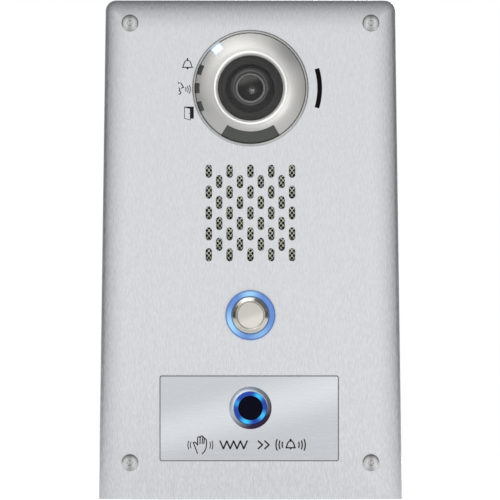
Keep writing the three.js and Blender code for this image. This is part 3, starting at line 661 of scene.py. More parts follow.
def make_looks():
    brushed("brushed_steel", (0.70, 0.717, 0.745), (1900, 1900, 430), 0.34, spread=0.12)
    # The sensor plate gets a painted sheen, a lighter band across it.
    brushed("brushed_plate", (0.585, 0.605, 0.632), (150, 1500, 1500), 0.30, spread=0.07,
            painted_sheen_band=((-0.26, 0, 0.966), -71.0, 15.0, 1.22))
    polished("polished_steel", (0.68, 0.69, 0.70), 0.22)
    polished("trim_steel", (0.60, 0.605, 0.60), 0.45)
    # The sensor's ring gets painted light and shade across it.
    ring_with_painted_light("sensor_steel", (0.80, 0.88, 1.0), (0.05, 0.03, 0.08), 0.42, 122, 9.5)
    polished("blue_rim", (0.20, 0.34, 0.72), 0.25)
    # The screw heads get painted highlights to their sides.
    turned_face("screw_steel", (0.68, 0.685, 0.68), 0.35, 1.04, 0.62)
    polished("zinc_steel", (0.5, 0.51, 0.53), 0.3)
    polished("spring_steel", grey(0.6), 0.25)
    # The button cap's upper half is painted darker: painted shade.
    dish_with_painted_shade("nickel", (0.62, 0.595, 0.55), 0.16, 0.8)
    polished("jack_shell", (0.64, 0.64, 0.65), 0.22)
    moulded("silver_plastic", (0.485, 0.482, 0.467), 0.4, grain=0.003, cell=16000, Metallic=0.9)
    moulded("white_lip", (0.80, 0.80, 0.785), 0.45, grain=0.0, Metallic=0.6)
    moulded("black_plastic", (0.014, 0.014, 0.016), 0.5, Specular_IOR_Level=0.3)
    moulded("dark_plastic", (0.035, 0.037, 0.04), 0.55, grain=0.05, cell=3500)
    moulded("green_plastic", (0.03, 0.26, 0.07), 0.42)
    moulded("grey_window", (0.105, 0.11, 0.103), 0.35, grain=0.0, Specular_IOR_Level=0.2)
    moulded("dark_window", (0.002, 0.002, 0.012), 0.3, grain=0.0, Specular_IOR_Level=0.05)
    clear_dome("smoked_dome")
    moulded("shroud_plastic", (0.33, 0.335, 0.33), 0.6, grain=0.0, Specular_IOR_Level=0.2)
    moulded("barrel_front", (0.20, 0.205, 0.20), 0.45, grain=0.0, Specular_IOR_Level=0.3)
    moulded("barrel_plastic", (0.10, 0.103, 0.10), 0.5, grain=0.0, Specular_IOR_Level=0.2)
    # The lens glass gets a painted reflection on its upper left.
    glass_with_painted_sheen("lens_glass")
    polished("lens_ring", (0.70, 0.705, 0.70), 0.3)
    moulded("rubber", grey(0.006), 0.8, grain=0.03, Specular_IOR_Level=0.15)
    moulded("foam", (0.02, 0.02, 0.022), 0.95, grain=0.12, cell=2500)
    moulded("circuit_board", (0.01, 0.09, 0.04), 0.4, grain=0.03, cell=1200)
    moulded("cone_paper", (0.085, 0.08, 0.07), 0.9, grain=0.05, cell=2000)
    brushed("wire_mesh", (0.96, 0.93, 0.76), grey(1500), 0.3, spread=0.2)
    moulded("ink", (0.018, 0.018, 0.020), 0.55, grain=0.01, Specular_IOR_Level=0.2)
    moulded("line_ink", grey(0.10), 0.55, grain=0.01, Specular_IOR_Level=0.2)
    polished("gold", (0.85, 0.6, 0.25), 0.2)
    glowing(
        "blue_light", Vector((0, box("button_halo")[0].y, 0)), 10.0,
        (0.12, 0.235, 0.55), (0.36, 0.66, 0.90),
        [(92, 6.5, 0.9), (205, 10, 1.0), (-60, 8, 0.5)], 0.95, rim=11.3,
    )
    glowing(
        "sensor_light", Vector((0, box("sensor_halo")[0].y, 0)), 6.5,
        (0.012, 0.05, 0.30), (0.05, 0.55, 1.0),
        [(55, 3.4, 1.0), (-32, 3.6, 1.0), (-110, 3.8, 1.0), (160, 2.6, 0.6)], 1.0,
    )
    glowing(
        "white_light", Vector((0, -8.8, 0)), 23.4,
        (0.50, 0.66, 0.86), grey(1.0), [(129.5, 2.7, 1.0)], 1.35,
    )


# ---- Camera, floor and light ----

VIEW_DISTANCE = 2.4
VIEW_X, VIEW_Z = -0.0002, -0.00015  # how far the camera is off the part's origin, in metres
PICTURE_SIDE = 1.0018  # the picture's side over the panel's height, where the panel's front is


def make_camera():
    data = bpy.data.cameras.new("camera")
    data.sensor_width = 36
    height = (PANEL_HIGH.z - PANEL_LOW.z) * MM
    data.lens = data.sensor_width * VIEW_DISTANCE / (height * PICTURE_SIDE)
    camera = add_object("camera", data, (VIEW_X, FRONT * MM - VIEW_DISTANCE, VIEW_Z))
    camera.rotation_euler = (math.radians(90), 0, 0)
    bpy.context.scene.camera = camera


def make_floor():
    """A pale disc under the panel, a little darker in front of it."""
    mesh = bpy.data.meshes.new("floor")
    bm = bmesh.new()
    bmesh.ops.create_circle(bm, cap_ends=True, segments=96, radius=0.5)
    bm.to_mesh(mesh)
    bm.free()
    floor = add_object("floor", mesh, (0, 0, PANEL_LOW.z * MM - 0.0006))
    look = Look("floor", grey(0.93), 0.8, Specular_IOR_Level=0.1)
    look.tint(look.noise(6), "Fac", grey(0.92), grey(0.95))
    depth = look.range(look.across((0, 1, 0)), "Value", 0, 1, -0.06, 0.0, smooth=True)
    look.link(look.ramp(depth, "Result", (0, grey(0.58)), (1, grey(0.65))), "Color",
              look.shader, "Emission Color")
    look.set("Emission Strength", 1.0)
    mesh.materials.append(look.material)


STUDIO = [  # brightness of the studio by its angle from straight in front of the panel, in degrees
    (180, 0.60), (140, 0.55), (110, 0.24), (90, 0.225), (76, 0.24), (61, 0.275), (50, 0.325), (40, 0.40),
    (33, 0.495), (26, 0.61), (20, 0.73), (15, 0.84), (8, 0.97), (0, 1.07),
]
OVERHEAD = 0.72  # how much of that light the studio's upper part keeps
FLAGS = [  # black cards in the studio: direction, the half angle they cover, and how much they take away
    ((-0.90, -0.44, 0.0), 15, 0.7),
    ((0.90, -0.44, 0.0), 15, 0.7),
]


def make_world():
    """A white studio that is brightest in front of the panel; it shows as plain white behind it."""
    world = bpy.data.worlds.new("studio")
    bpy.context.scene.world = world
    world.use_nodes = True
    tree = world.node_tree
    tree.nodes.clear()

    def node(kind, **values):
        made = tree.nodes.new("ShaderNode" + kind)
        for key, value in values.items():
            setattr(made, key, value)
        return made

    def ranged(source, from_low, from_high, low, high):
        made = node("MapRange", interpolation_type="SMOOTHSTEP")
        tree.links.new(source, made.inputs["Value"])
        set_range(made, from_low, from_high, low, high)
        return made.outputs["Result"]

    where = node("TexCoord").outputs["Generated"]
    split = node("SeparateXYZ")
    tree.links.new(where, split.inputs["Vector"])
    facing = node("MapRange")
    set_range(facing, 1, -1)
    tree.links.new(split.outputs["Y"], facing.inputs["Value"])
    ramp = node("ValToRGB")
    set_stops(ramp, [((1 + math.cos(math.radians(angle))) / 2, grey(level)) for angle, level in STUDIO])
    tree.links.new(facing.outputs["Result"], ramp.inputs["Fac"])
    overhead = ranged(split.outputs["Z"], 0.0, 0.45, 1, OVERHEAD)
    level = node("Math", operation="MULTIPLY")
    tree.links.new(ramp.outputs["Color"], level.inputs[0])
    tree.links.new(overhead, level.inputs[1])
    level = level.outputs["Value"]
    for direction, half, depth in FLAGS:
        towards = node("VectorMath", operation="DOT_PRODUCT")
        tree.links.new(where, towards.inputs[0])
        towards.inputs[1].default_value = Vector(direction).normalized()
        outer, inner = math.cos(math.radians(half)), math.cos(math.radians(half / 2))
        kept = ranged(towards.outputs["Value"], outer, inner, 1, 1 - depth)
        product = node("Math", operation="MULTIPLY")
        tree.links.new(level, product.inputs[0])
        tree.links.new(kept, product.inputs[1])
        level = product.outputs["Value"]
    light, backdrop = node("Background"), node("Background")
    tree.links.new(level, light.inputs["Color"])
    light.inputs["Strength"].default_value = 1.2
    backdrop.inputs["Color"].default_value = (1, 1, 1, 1)
    mix = node("MixShader")
    out = node("OutputWorld")
    tree.links.new(node("LightPath").outputs["Is Camera Ray"], mix.inputs["Fac"])
    tree.links.new(light.outputs["Background"], mix.inputs[1])
    tree.links.new(backdrop.outputs["Background"], mix.inputs[2])
    tree.links.new(mix.outputs["Shader"], out.inputs["Surface"])


METAL = ["camera_trim_ring_fine", "camera_bezel_ring", "button_cap_fine", "sensor_body_fine"]
BARREL = ["camera_barrel_fine", "barrel_light_baffle"]
BEZEL, CAP, SENSOR_RING = METAL[1:2], METAL[2:3], METAL[3:4]
SOFTBOXES = [  # name, place and size in metres, power in watts, the pieces it lights (all, if none is named)
    ("key", (-0.4, -0.72, 0.80), (1.0, 0.8), 2.6, METAL),
    ("overhead", (-0.085, -0.61, 0.97), (1.2, 1.1), 3.6, BEZEL),
    ("upper", (-0.05, -0.98, 0.60), (0.9, 0.4), 1.0, BEZEL),
    ("right", (0.86, -0.74, 0.15), (0.9, 0.9), 1.5, BEZEL),
    ("low_right", (0.41, -1.11, -0.19), (0.5, 0.5), 2.2, BEZEL),
    ("left", (-0.82, -0.77, 0.22), (0.7, 0.7), 1.1, BEZEL),
    ("sensor_side", (-0.80, -0.70, 0.25), (0.8, 0.8), 1.5, SENSOR_RING),
    ("cap_light", (-0.15, -0.52, 0.80), (0.7, 0.6), 2.0, CAP),
    ("glint", (0.09, -1.0, -0.04), (0.24, 0.24), 5.5, ["lens_glass_fine"]),
    ("dome_light", (-0.2, -0.75, 0.9), (0.7, 0.5), 26.0, BARREL),
    ("rear_fill", (0.4, 1.2, 0.6), (0.8, 0.8), 9.0, []),
]


def make_softbox(name, place, size, power, lit_pieces):
    """A rectangular soft light aimed at the panel."""
    data = bpy.data.lights.new(name, "AREA")
    data.shape = "RECTANGLE"
    data.size, data.size_y = size
    data.energy = power
    lamp = add_object(name, data, place)
    lamp.visible_camera = False
    lamp.rotation_euler = (-Vector(place)).to_track_quat("-Z", "Y").to_euler()
    if lit_pieces:
        lit = bpy.data.collections.new(name + "_lights")
        for piece in lit_pieces:
            lit.objects.link(bpy.data.objects[piece])
        lamp.light_linking.receiver_collection = lit


# ---- Face panel ----

ROLL_SIDE = 12.0
ROLL_TOP = 13.8
ROLL_DEEP = 3.0
INNER_ROLL = 5.0
INNER_DEEP = 1.8
ROLL_STEPS = 20


def panel_loop(side, top, bottom):
    """The panel's outline with its sides, top and bottom moved inwards by different amounts."""
    z_top = PANEL_HIGH.z - top
    z_bottom = PANEL_LOW.z + bottom
    height = PANEL_HIGH.z - PANEL_LOW.z
    corner_x = max(5.0 - side, 0.8)
    corner_z = max(5.0 - top, 0.8)

    def half(z):
        return PANEL_HIGH.x - TAPER * (z - PANEL_LOW.z) / height - side

    points = [(-half(z_bottom), z_bottom), (half(z_bottom), z_bottom)]
    x = half(z_top) - corner_x
    z = z_top - corner_z
    for start, side_x in ((0, x), (90, -x)):
        for i in range(9):
            a = math.radians(start + 90 * i / 8)
            points.append((side_x + corner_x * math.cos(a), z + corner_z * math.sin(a)))
    return points


def panel_rim():
    """Layers from the flat front over the rolled edge, round the rear rim and into the dish."""
    flat = 0.4
    layers = [(panel_loop(ROLL_SIDE + flat, ROLL_TOP + flat, 0.5), FRONT)]
    for i in range(ROLL_STEPS + 1):
        a = math.radians(90 * i / ROLL_STEPS)
        kept = 1 - math.sin(a)
        depth = FRONT + ROLL_DEEP * (1 - math.cos(a))
        layers.append((panel_loop(ROLL_SIDE * kept, ROLL_TOP * kept, 0.15 if i == 0 else 0), depth))
    for inset, depth in ((0, -0.3), (0.3, 0), (SHEET - 0.3, 0), (SHEET, -0.3)):
        layers.append((panel_loop(inset, inset, inset), depth))
    for i in range(7):
        a = math.radians(90 - 15 * i)
        inset = SHEET + INNER_ROLL * (1 - math.sin(a))
        layers.append((panel_loop(inset, inset, SHEET + 0.05 * i), INSIDE + INNER_DEEP * (1 - math.cos(a))))
    return layers


SLOT_WIDE = 2.84
SLOT_LONG = 5.99
HOLE_EDGE = 0.06  # the small break on the front edge of each opening in the sheet


def grille_slots():
    columns, rows, pitch_x, pitch_z = 9, 5, 4.765, 9.56
    for column in range(columns):
        count = rows - column % 2
        x = GRILLE.x + (column - (columns - 1) / 2) * pitch_x
        for row in range(count):
            yield x, GRILLE.z + (row - (count - 1) / 2) * pitch_z


def mic_band(width, half):
    return band(CAMERA.x, CAMERA.z, MIC_RADIUS - width / 2, MIC_RADIUS + width / 2, 0, half, 20)


def screw_places():
    return [middle(f"panel_screw_{i}") for i in range(1, 5)]


def make_panel():
    outlines = [circle(CAMERA.x, CAMERA.z, 25.9, 120), mic_band(2.1, MIC_HALF)]
    outlines += [circle(BUTTON.x, BUTTON.z, 9.6, 64), circle(SENSOR.x, SENSOR.z, 8.2, 64)]
    outlines += [upright_slot(x, z, SLOT_WIDE, SLOT_LONG) for x, z in grille_slots()]
    holes = [chamfered(outline, FRONT, INSIDE, -HOLE_EDGE) for outline in outlines]
    piece = Piece("face_panel_sheet")
    piece.stack(panel_rim(), holes)
    sheet = piece.solid()
    cutter = Piece("screw_holes")
    for place in screw_places():
        cutter.prism(circle(place.x, place.z, 2.4, 32), FRONT - 1, INSIDE + 1)
    for x in (-38, 38):
        cutter.block((x - 4, x + 4), (-1.8, 1), (PANEL_LOW.z - 1, PANEL_LOW.z + 3), 0)
    carve(sheet, cutter.solid())
    dress(sheet, "brushed_steel", node="face_panel")


def make_screws():
    for i, place in enumerate(screw_places(), start=1):
        low, high = box(f"panel_screw_{i}")
        crown = low.y
        head = (high.z - low.z) / 2
        radii = (2.1, 2.5, 2.9, 3.2, head - 0.45)
        dome = [(r, crown + 0.12 + 0.4 * ((r - 1.75) / (head - 1.9)) ** 2) for r in radii]
        profile = [
            (0, crown + 0.5), (0.42, crown + 0.5), (0.55, crown + 0.65), (0.55, crown + 1.35),
            (1.2, crown + 1.35, 0.16), (1.2, crown + 0.3, 0.16), (1.34, crown + 0.14, 0.14),
            (1.75, crown + 0.12),
            *dome, (head - 0.25, crown + 0.56), (head - 0.1, crown + 0.78), (head, crown + 1.15),
            (head, FRONT - 0.02), (2.0, FRONT - 0.02),
        ]
        for k in range(24):
            y = FRONT + 3.2 + k * (high.y - FRONT - 4.4) / 24
            profile += [(2.0, y), (1.68, y + 0.45)]
        profile += [(1.6, high.y - 0.6), (1.0, high.y), (0, high.y)]
        piece = Piece(f"panel_screw_head_{i}", (place.x, 0, place.z))
        piece.revolve(place.x, place.z, profile, 72)
        piece.make("screw_steel", node=f"panel_screw_{i}", sharp=40)


# ---- Printed pictograms ----


class Print(Piece):
    """Ink on a flat surface: its strokes are solids a few hundredths of a millimetre thick."""

    def __init__(self, name, surface, lift=0.04):
        super().__init__(name)
        self.surface = surface
        self.lift = lift

    def area(self, points, holes=()):
        self.prism(points, self.surface - self.lift, self.surface, holes=holes)

    def line(self, points, width):
        """A stroke of constant width along a list of points."""
        sides = ([], [])
        for i, here in enumerate(points):
            ahead = Vector(points[min(i + 1, len(points) - 1)])
            behind = Vector(points[max(i - 1, 0)])
            along = (ahead - behind).normalized()
            across = Vector((-along.y, along.x)) * width / 2
            sides[0].append(tuple(Vector(here) + across))
            sides[1].append(tuple(Vector(here) - across))
        self.area(sides[1] + sides[0][::-1])

    def strokes(self, points, width):
        """Separate round-ended bars between successive points, for lines with sharp turns."""
        for a, b in zip(points, points[1:]):
            self.area(capsule(a, b, width / 2, 4))


def sound_arcs(ink, x, z, radii, half, width, direction=0):
    for radius in radii:
        ink.line(arc(x, z, radius, direction - half, direction + half, 10), width)


def draw_bell(ink, x, z, size, width):
    """A bell with a knob above and a clapper below; size is half its width."""
    left = [(-0.86, -0.56), (-0.74, -0.30), (-0.66, 0.06), (-0.48, 0.46), (-0.22, 0.68)]
    sides = left + [(-px, pz) for px, pz in reversed(left)]
    ink.line(shifted(sides, x, z, size), width)
    ink.line(shifted([(-1.0, -0.6), (1.0, -0.6)], x, z, size), width)
    ink.line(shifted([(0, 0.66), (0, 1.14)], x, z, size), width * 0.9)
    ink.area(circle(x, z + 0.92 * size, width * 0.85, 12))
    ink.area(shifted([(-0.28, -0.66), (0, -1.0), (0.28, -0.66)], x, z, size))


def draw_talker(ink, x, z):
    """A face in profile, and the sound that leaves its mouth."""
    width = 0.44
    brow = [(-2.7, 2.4), (-1.4, 0.4), (-2.4, 0)]
    mouth = [(-3.6, 0.2), (-3.0, -0.4), (-3.5, -1.0), (-2.6, -1.8), (-2.8, -2.5), (-3.6, -2.8)]
    ink.strokes(shifted(brow, x, z), width)
    ink.strokes(shifted(mouth, x, z), width)
    ink.area(circle(x - 3.6, z + 2.4, 0.38, 12))
    sound_arcs(ink, x - 2.2, z - 0.5, (1.9, 2.9, 3.9), 30, width * 0.9)


DOOR_HALF = 2.17
DOOR_HIGH = 2.75


def make_indicator_prints():
    """A bell, a speaking face and an open door, beside the three indicator windows."""
    ink = Print("indicator_pictograms", FRONT)
    draw_bell(ink, -28.8, CAMERA.z + 11.0, 2.5, 0.42)
    draw_talker(ink, -29.2, CAMERA.z)
    x, z = -28.1, CAMERA.z - 11.2
    doorway = rectangle(Vector((x, 0, z)), 2 * DOOR_HALF, 2 * DOOR_HIGH)
    leaf = [(x - 1.95, z - 2.5), (x + 0.42, z - 3.2), (x + 0.42, z + 1.75), (x - 1.95, z + 2.4)]
    ink.area(doorway)
    ink.area(grown(leaf, 0.28))
    ink.make("ink")
    paint = Print("door_leaf_print", FRONT - 0.04, 0.02)
    paint.area(leaf)
    paint.make("brushed_steel")
    knob = Print("door_knob_print", FRONT - 0.06, 0.02)
    knob.area(circle(x + 0.05, z - 0.4, 0.22, 10))
    knob.make("ink")


HAND = [  # the strokes of a raised open hand, in millimetres from its middle
    [(-1.35, -3.9), (-2.1, -1.9), (-3.0, 0.4), (-3.25, 0.95), (-2.75, 1.3), (-2.1, 1.05),
     (-1.3, -0.1), (-1.2, -0.1)],
    [(-1.25, 0.0), (-1.3, 2.5), (-1.1, 3.55), (-0.45, 3.75), (-0.1, 3.2), (-0.2, 0.5)],
    [(-0.1, 3.2), (0.25, 4.05), (0.85, 4.1), (1.05, 3.5), (0.8, 0.5)],
    [(1.05, 3.5), (1.5, 3.6), (1.85, 3.0), (1.6, 0.6)],
    [(1.85, 2.7), (2.4, 2.75), (2.75, 2.1), (2.85, 0.3), (2.6, -1.4), (1.9, -3.0), (0.9, -4.1)],
]


def make_plate_prints():
    """A waving hand, a wave and arrows that lead to a ringing bell."""
    surface = PLATE_LOW.y
    line = Print("plate_border", surface, 0.03)
    outer = inset_box(PLATE_LOW, PLATE_HIGH, 0.05, 0.9, 4)
    line.area(outer, [grown(outer, -0.36)])
    line.make("line_ink")
    z = PLATE.z - 12.1
    ink = Print("wave_pictogram", surface)
    hand_x = -22.9
    for stroke in HAND:
        ink.strokes(shifted(stroke, hand_x, z), 0.5)
    for side, direction in ((-1, 180), (1, 0)):
        sound_arcs(ink, hand_x + side * 0.9, z - 0.1, (3.7, 4.8), 24, 0.42, direction)
    ink.make("ink")
    guide = Print("ring_pictogram", surface)
    heavy = 0.7
    crest = 1.75
    wave = [(-13.9 + 1.55 * k, z + (crest if k % 2 == 0 else -crest)) for k in range(9)]
    guide.strokes(wave, heavy)
    for x in (3.6, 6.6):
        guide.strokes([(x, z + crest), (x + 1.9, z), (x, z - crest)], heavy)
    bell_x = 18.4
    draw_bell(guide, bell_x, z + 0.1, 2.35, 0.6)
    for side, direction in ((-1, 180), (1, 0)):
        sound_arcs(guide, bell_x + side * 0.7, z, (3.2, 4.6, 6.0), 26, 0.62, direction)
    guide.make("ink")


# ---- Camera unit ----

CREST = 16.8  # radius where the silver ring's crown ends at the white lip
CREST_Y = -11.0
CROWN_DROP = 3.5
WINDOWS = [  # CAD node, direction and half width in degrees, inner radius, look
    ("status_light", 130, 6, 21.8, "white_light"),
    ("indicator_window_1", 160, 5.4, 23.3, "grey_window"),
    ("indicator_window_2", 180, 5.4, 23.3, "grey_window"),
    ("indicator_window_3", 200, 5.4, 23.3, "grey_window"),
    ("illumination_window", 270, 32, 19.9, "grey_window"),
]


def crown_height(radius):
    """The silver ring's front surface at a radius."""
    share = max(0.0, (radius - CREST) / (JOINT - CREST))
    return CREST_Y + CROWN_DROP * share**1.6


def make_bezel():
    """The silver ring and its white inner lip, cut through for the windows."""
    radii = [JOINT - (JOINT - CREST) * k / 14 for k in range(15)]
    crown = [(radius, crown_height(radius)) for radius in radii]
    lip = [(16.72, -11.06), (16.55, -11.1), (16.25, -11.1), (16.0, -11.03), (15.7, -10.8), (15.35, -10.4),
           (LIP + 0.1, -10.0), (LIP, -9.8), (LIP, -8.6)]
    piece = Piece("camera_bezel_ring", (CAMERA.x, 0, CAMERA.z))
    piece.revolve(CAMERA.x, CAMERA.z, [
        *crown, *lip, (16.8, -8.6), (16.8, -1.9), (29.5, -1.9), (29.5, -3.4), (JOINT, -3.4),
    ], 160)
    ring = piece.solid()
    cutter = Piece("window_seats")
    for _, direction, half, inner, _ in WINDOWS:
        cutter.prism(band(CAMERA.x, CAMERA.z, inner, JOINT + 0.04, direction, half, 16), 2 * FRONT, 0)
    carve(ring, cutter.solid())
    dress(ring, "silver_plastic", "white_lip", node="camera_bezel", sharp=38)
    for face in ring.data.polygons:
        radius = math.hypot(face.center.x, face.center.z) / MM
        if radius < CREST and face.center.y < -8.5 * MM:
            face.material_index = 1


def make_windows():
    """Each window fills its seat, a hair below the crown and with a fine gap all round."""
    gap = 0.12
    for node, direction, half, inner, look in WINDOWS:
        steps = max(6, round(half))
        sweep = half - math.degrees(gap / 24)
        angles = [math.radians(direction - sweep + 2 * sweep * k / steps) for k in range(steps + 1)]
        radii = [inner + gap + (JOINT - 0.05 - inner - gap) * k / 4 for k in range(5)]
        piece = Piece(node + "_fine", (CAMERA.x, 0, CAMERA.z))
        grid = {}
        for i, a in enumerate(angles):
            for j, radius in enumerate(radii):
                edge = i in (0, len(angles) - 1) or j == 0
                x = CAMERA.x + radius * math.cos(a)
                z = CAMERA.z + radius * math.sin(a)
                grid[i, j, 0] = piece.point(x, crown_height(radius) + (0.16 if edge else 0.06), z)
                grid[i, j, 1] = piece.point(x, -4.0, z)
        last_i, last_j = len(angles) - 1, len(radii) - 1
        for i in range(last_i):
            for j in range(last_j):
                for side in (0, 1):
                    corners = [(i, j), (i + 1, j), (i + 1, j + 1), (i, j + 1)]
                    piece.bm.faces.new([grid[(*c, side)] for c in corners])
        border = [(i, 0) for i in range(last_i)] + [(last_i, j) for j in range(last_j)]
        border += [(i, last_j) for i in range(last_i, 0, -1)] + [(0, j) for j in range(last_j, 0, -1)]
        for a, b in zip(border, border[1:] + border[:1]):
            piece.bm.faces.new((grid[(*a, 0)], grid[(*b, 0)], grid[(*b, 1)], grid[(*a, 1)]))
        piece.make(look, sharp=50)


def make_camera_front():
    seat = FRONT - 0.02
    inner = JOINT + 0.12
    turned("camera_trim_ring_fine", CAMERA, [
        (inner, INSIDE + 0.4), (inner + 0.5, INSIDE + 0.4), (inner + 0.5, seat), (TRIM, seat),
        (TRIM, seat - 0.75), (TRIM - 0.5, seat - 1.35), (inner + 0.5, seat - 1.35), (inner, seat - 0.75),
    ], "trim_steel", soft=0.4, segments=160, slot="polished_steel")
    make_bezel()
    make_windows()
    outer = dome_profile(14.6, -9.6, DOME_TOP)
    hollow = dome_profile(13.4, -8.6, DOME_TOP + 1.5)[::-1]
    rim = [(14.6, -8.4), (16.5, -8.4), (16.5, -7.2), (13.4, -7.2)]
    turned("dome_cover_fine", CAMERA, outer + rim + hollow, "smoked_dome", soft=0)
    turned("camera_shroud_fine", CAMERA, [
        (13.3, -7.05), (16.4, -7.05), (16.4, -5.6), (14.6, -5.6), (12.4, -2.6), (11.08, -2.6), (11.3, -4.2),
        (12.1, -4.4), (12.3, -5.6), (12.9, -5.8),
    ], "shroud_plastic", soft=0.12, slot="black_plastic")


def make_tilting_camera():
    low, high = box("camera_barrel")
    radius = (high.x - low.x) / 2
    grooves = []
    for k in range(5):
        y = -6.6 + 2.6 * k
        grooves += [(radius, y), (radius - 0.25, y + 0.3), (radius - 0.25, y + 0.9), (radius, y + 1.2)]
    turned("camera_barrel_fine", CAMERA, [
        (7.05, low.y + 0.35), (7.4, low.y + 0.3), (7.6, low.y), (radius - 0.35, low.y), (radius, low.y + 0.5),
        *grooves, (radius, high.y), (5, high.y), (5, -7.9), (7.05, -7.9),
    ], "barrel_front", soft=0.1, segments=96, body="camera", slot="black_plastic")
    turned("barrel_light_baffle", CAMERA, [
        (radius + 0.06, -7.4), (8.4, -7.4), (8.75, -6.7), (8.9, -6.6), (9.2, -5.8), (9.3, -5.3), (9.5, -4.7),
        (9.55, -4.2), (radius + 0.06, -4.2),
    ], "barrel_plastic", soft=0.06, segments=96, body="camera", slot="black_plastic")
    ring_low, ring_high = box("lens_ring")
    turned("lens_ring_fine", CAMERA, [
        (5.7, ring_low.y + 0.35), (5.85, ring_low.y + 0.06), (6.05, ring_low.y), (6.6, ring_low.y),
        (6.85, ring_low.y + 0.12), (6.95, ring_low.y + 0.5), (6.95, ring_high.y), (5.7, ring_high.y),
    ], "lens_ring", soft=0.05, segments=96, body="camera")
    glass_low, glass_high = box("lens_glass")
    edge = half_width("lens_glass")
    turned("lens_glass_fine", CAMERA, [
        *dome_profile(edge, glass_low.y + 1.0, glass_low.y, 12), (edge, glass_high.y), (0, glass_high.y),
    ], "lens_glass", soft=0, segments=96, body="camera")


# ---- Microphone and loudspeaker ----


def make_microphone():
    piece = Piece("mic_slot_insert_fine")
    piece.prism(mic_band(1.9, MIC_HALF - 0.2), box("mic_slot_insert")[0].y, INSIDE + 0.05, 0.12)
    piece.prism(mic_band(3.8, MIC_HALF + 1.5), INSIDE + 0.1, INSIDE + 1.4, 0.1)
    piece.make("rubber")


def make_speaker_mesh():
    """Wire cloth laid diamond-wise: two sets of wavy wires that pass over and under each other."""
    pitch_x, pitch_z = 2.0, 2.3
    wire = 0.39
    wave = 0.26
    reach_x, reach_z = 21.6, 23.8
    depth = INSIDE + 0.75
    for index, slope in enumerate((1, -1)):
        piece = Piece(f"speaker_wires_{index + 1}")
        count = int(reach_x * 2 / pitch_x + reach_z * 2 / pitch_z) // 2 + 1
        for k in range(-count, count + 1):
            path = []
            for step in range(-4 * count, 4 * count + 1):
                t = step / 4
                x = (t + k) * pitch_x / 2
                z = slope * (t - k) * pitch_z / 2
                if abs(x) > reach_x or abs(z) > reach_z:
                    continue
                phase = math.pi * t + (0 if slope > 0 else math.pi)
                path.append((GRILLE.x + x, depth + wave * math.cos(phase), GRILLE.z + z))
            if len(path) > 3:
                piece.tube(path, wire, sides=5)
        piece.make("wire_mesh", node="speaker_mesh" if index == 0 else None, sharp=80)


# ---- Call button ----


def threaded(radius, y0, y1, pitch=1.0):
    """Profile points of a fine thread."""
    points = []
    for k in range(int((y1 - y0) / pitch)):
        points += [(radius, y0 + pitch * k), (radius - 0.25, y0 + pitch * (k + 0.5))]
    return points


def make_call_button():
    low, high = box("button_body")
    halo_outer = half_width("button_halo")
    seat = FRONT - 0.02
    body = Piece("button_body_fine", (BUTTON.x, 0, BUTTON.z))
    head = [(halo_outer + 0.04, low.y + 0.15), (FLANGE - 0.15, low.y + 0.1), (FLANGE, low.y + 0.3),
            (FLANGE, seat)]
    inside = [(8.2, high.y), (8.2, 4.4), (4.3, 4.4), (4.3, 3.0), (8.0, 3.0), (8.0, -4.5), (8.85, -4.5),
              (8.85, -7.95), (halo_outer + 0.06, -7.95)]
    body.revolve(BUTTON.x, BUTTON.z, head + threaded(9.3, -4.4, high.y) + inside, 128)
    body.make("blue_rim", slot="polished_steel", sharp=30)
    halo_low, halo_high = box("button_halo")
    turned("button_halo_fine", BUTTON, [
        (8.75, halo_low.y + 0.3), (9.3, halo_low.y + 0.02), (halo_outer - 0.4, halo_low.y),
        (halo_outer, halo_low.y + 0.3), (halo_outer, halo_high.y), (8.9, halo_high.y),
    ], "blue_light", soft=0.15)
    front = box("button_cap")[0].y
    cap = half_width("button_cap")
    turned("button_cap_fine", BUTTON, [
        (0, front + 0.25), (3.0, front + 0.24), (5.0, front + 0.2), (5.9, front + 0.15), (6.05, front + 0.4),
        (6.2, front + 0.15), (6.45, front), (6.75, front + 0.08), (8.1, front + 0.9), (cap, front + 1.3),
        (cap, -7.2), (7.6, -7.2), (7.6, -3), (4, -3), (4, 7), (0, 7),
    ], "nickel", soft=0.14, body="call_button")


# ---- Touch-free sensor and its plate ----


def make_sensor():
    piece = Piece("sensor_plate_fine")
    outline = inset_box(PLATE_LOW, PLATE_HIGH, 0, 1.0)
    piece.prism(outline, PLATE_LOW.y, PLATE_HIGH.y, 0.08, [circle(SENSOR.x, SENSOR.z, 8.2, 64)])
    piece.make("brushed_plate")
    low, high = box("sensor_body")
    halo = half_width("sensor_halo")
    seat = PLATE_LOW.y - 0.02
    body = Piece("sensor_body_fine", (SENSOR.x, 0, SENSOR.z))
    head = softened([
        (halo + 0.08, low.y + 0.3), (halo + 0.5, low.y), (SENSOR_RIM - 0.9, low.y + 0.6),
        (SENSOR_RIM, low.y + 1.5), (SENSOR_RIM, seat), (7.9, seat),
    ], 0.3)
    inside = [(6.2, high.y), (6.2, -8.1), (halo + 0.08, -8.1)]
    body.revolve(SENSOR.x, SENSOR.z, head[1:-1] + threaded(7.9, -4.4, high.y) + inside, 128)
    body.make("sensor_steel", slot="polished_steel", sharp=30)
    halo_low, halo_high = box("sensor_halo")
    window = half_width("sensor_window")
    turned("sensor_halo_fine", SENSOR, [
        (window + 0.08, halo_low.y + 0.1), (window + 0.5, halo_low.y), (halo - 0.3, halo_low.y),
        (halo, halo_low.y + 0.15), (halo, halo_high.y), (window + 0.08, halo_high.y),
    ], "sensor_light", soft=0.1, slot="blue_light")
    window_low, window_high = box("sensor_window")
    turned("sensor_window_fine", SENSOR, [
        (0, window_low.y), (window - 0.4, window_low.y + 0.04), (window, window_low.y + 0.35),
        (window, window_high.y), (0, window_high.y),
    ], "dark_window", soft=0.2)


# ---- Module behind the panel ----

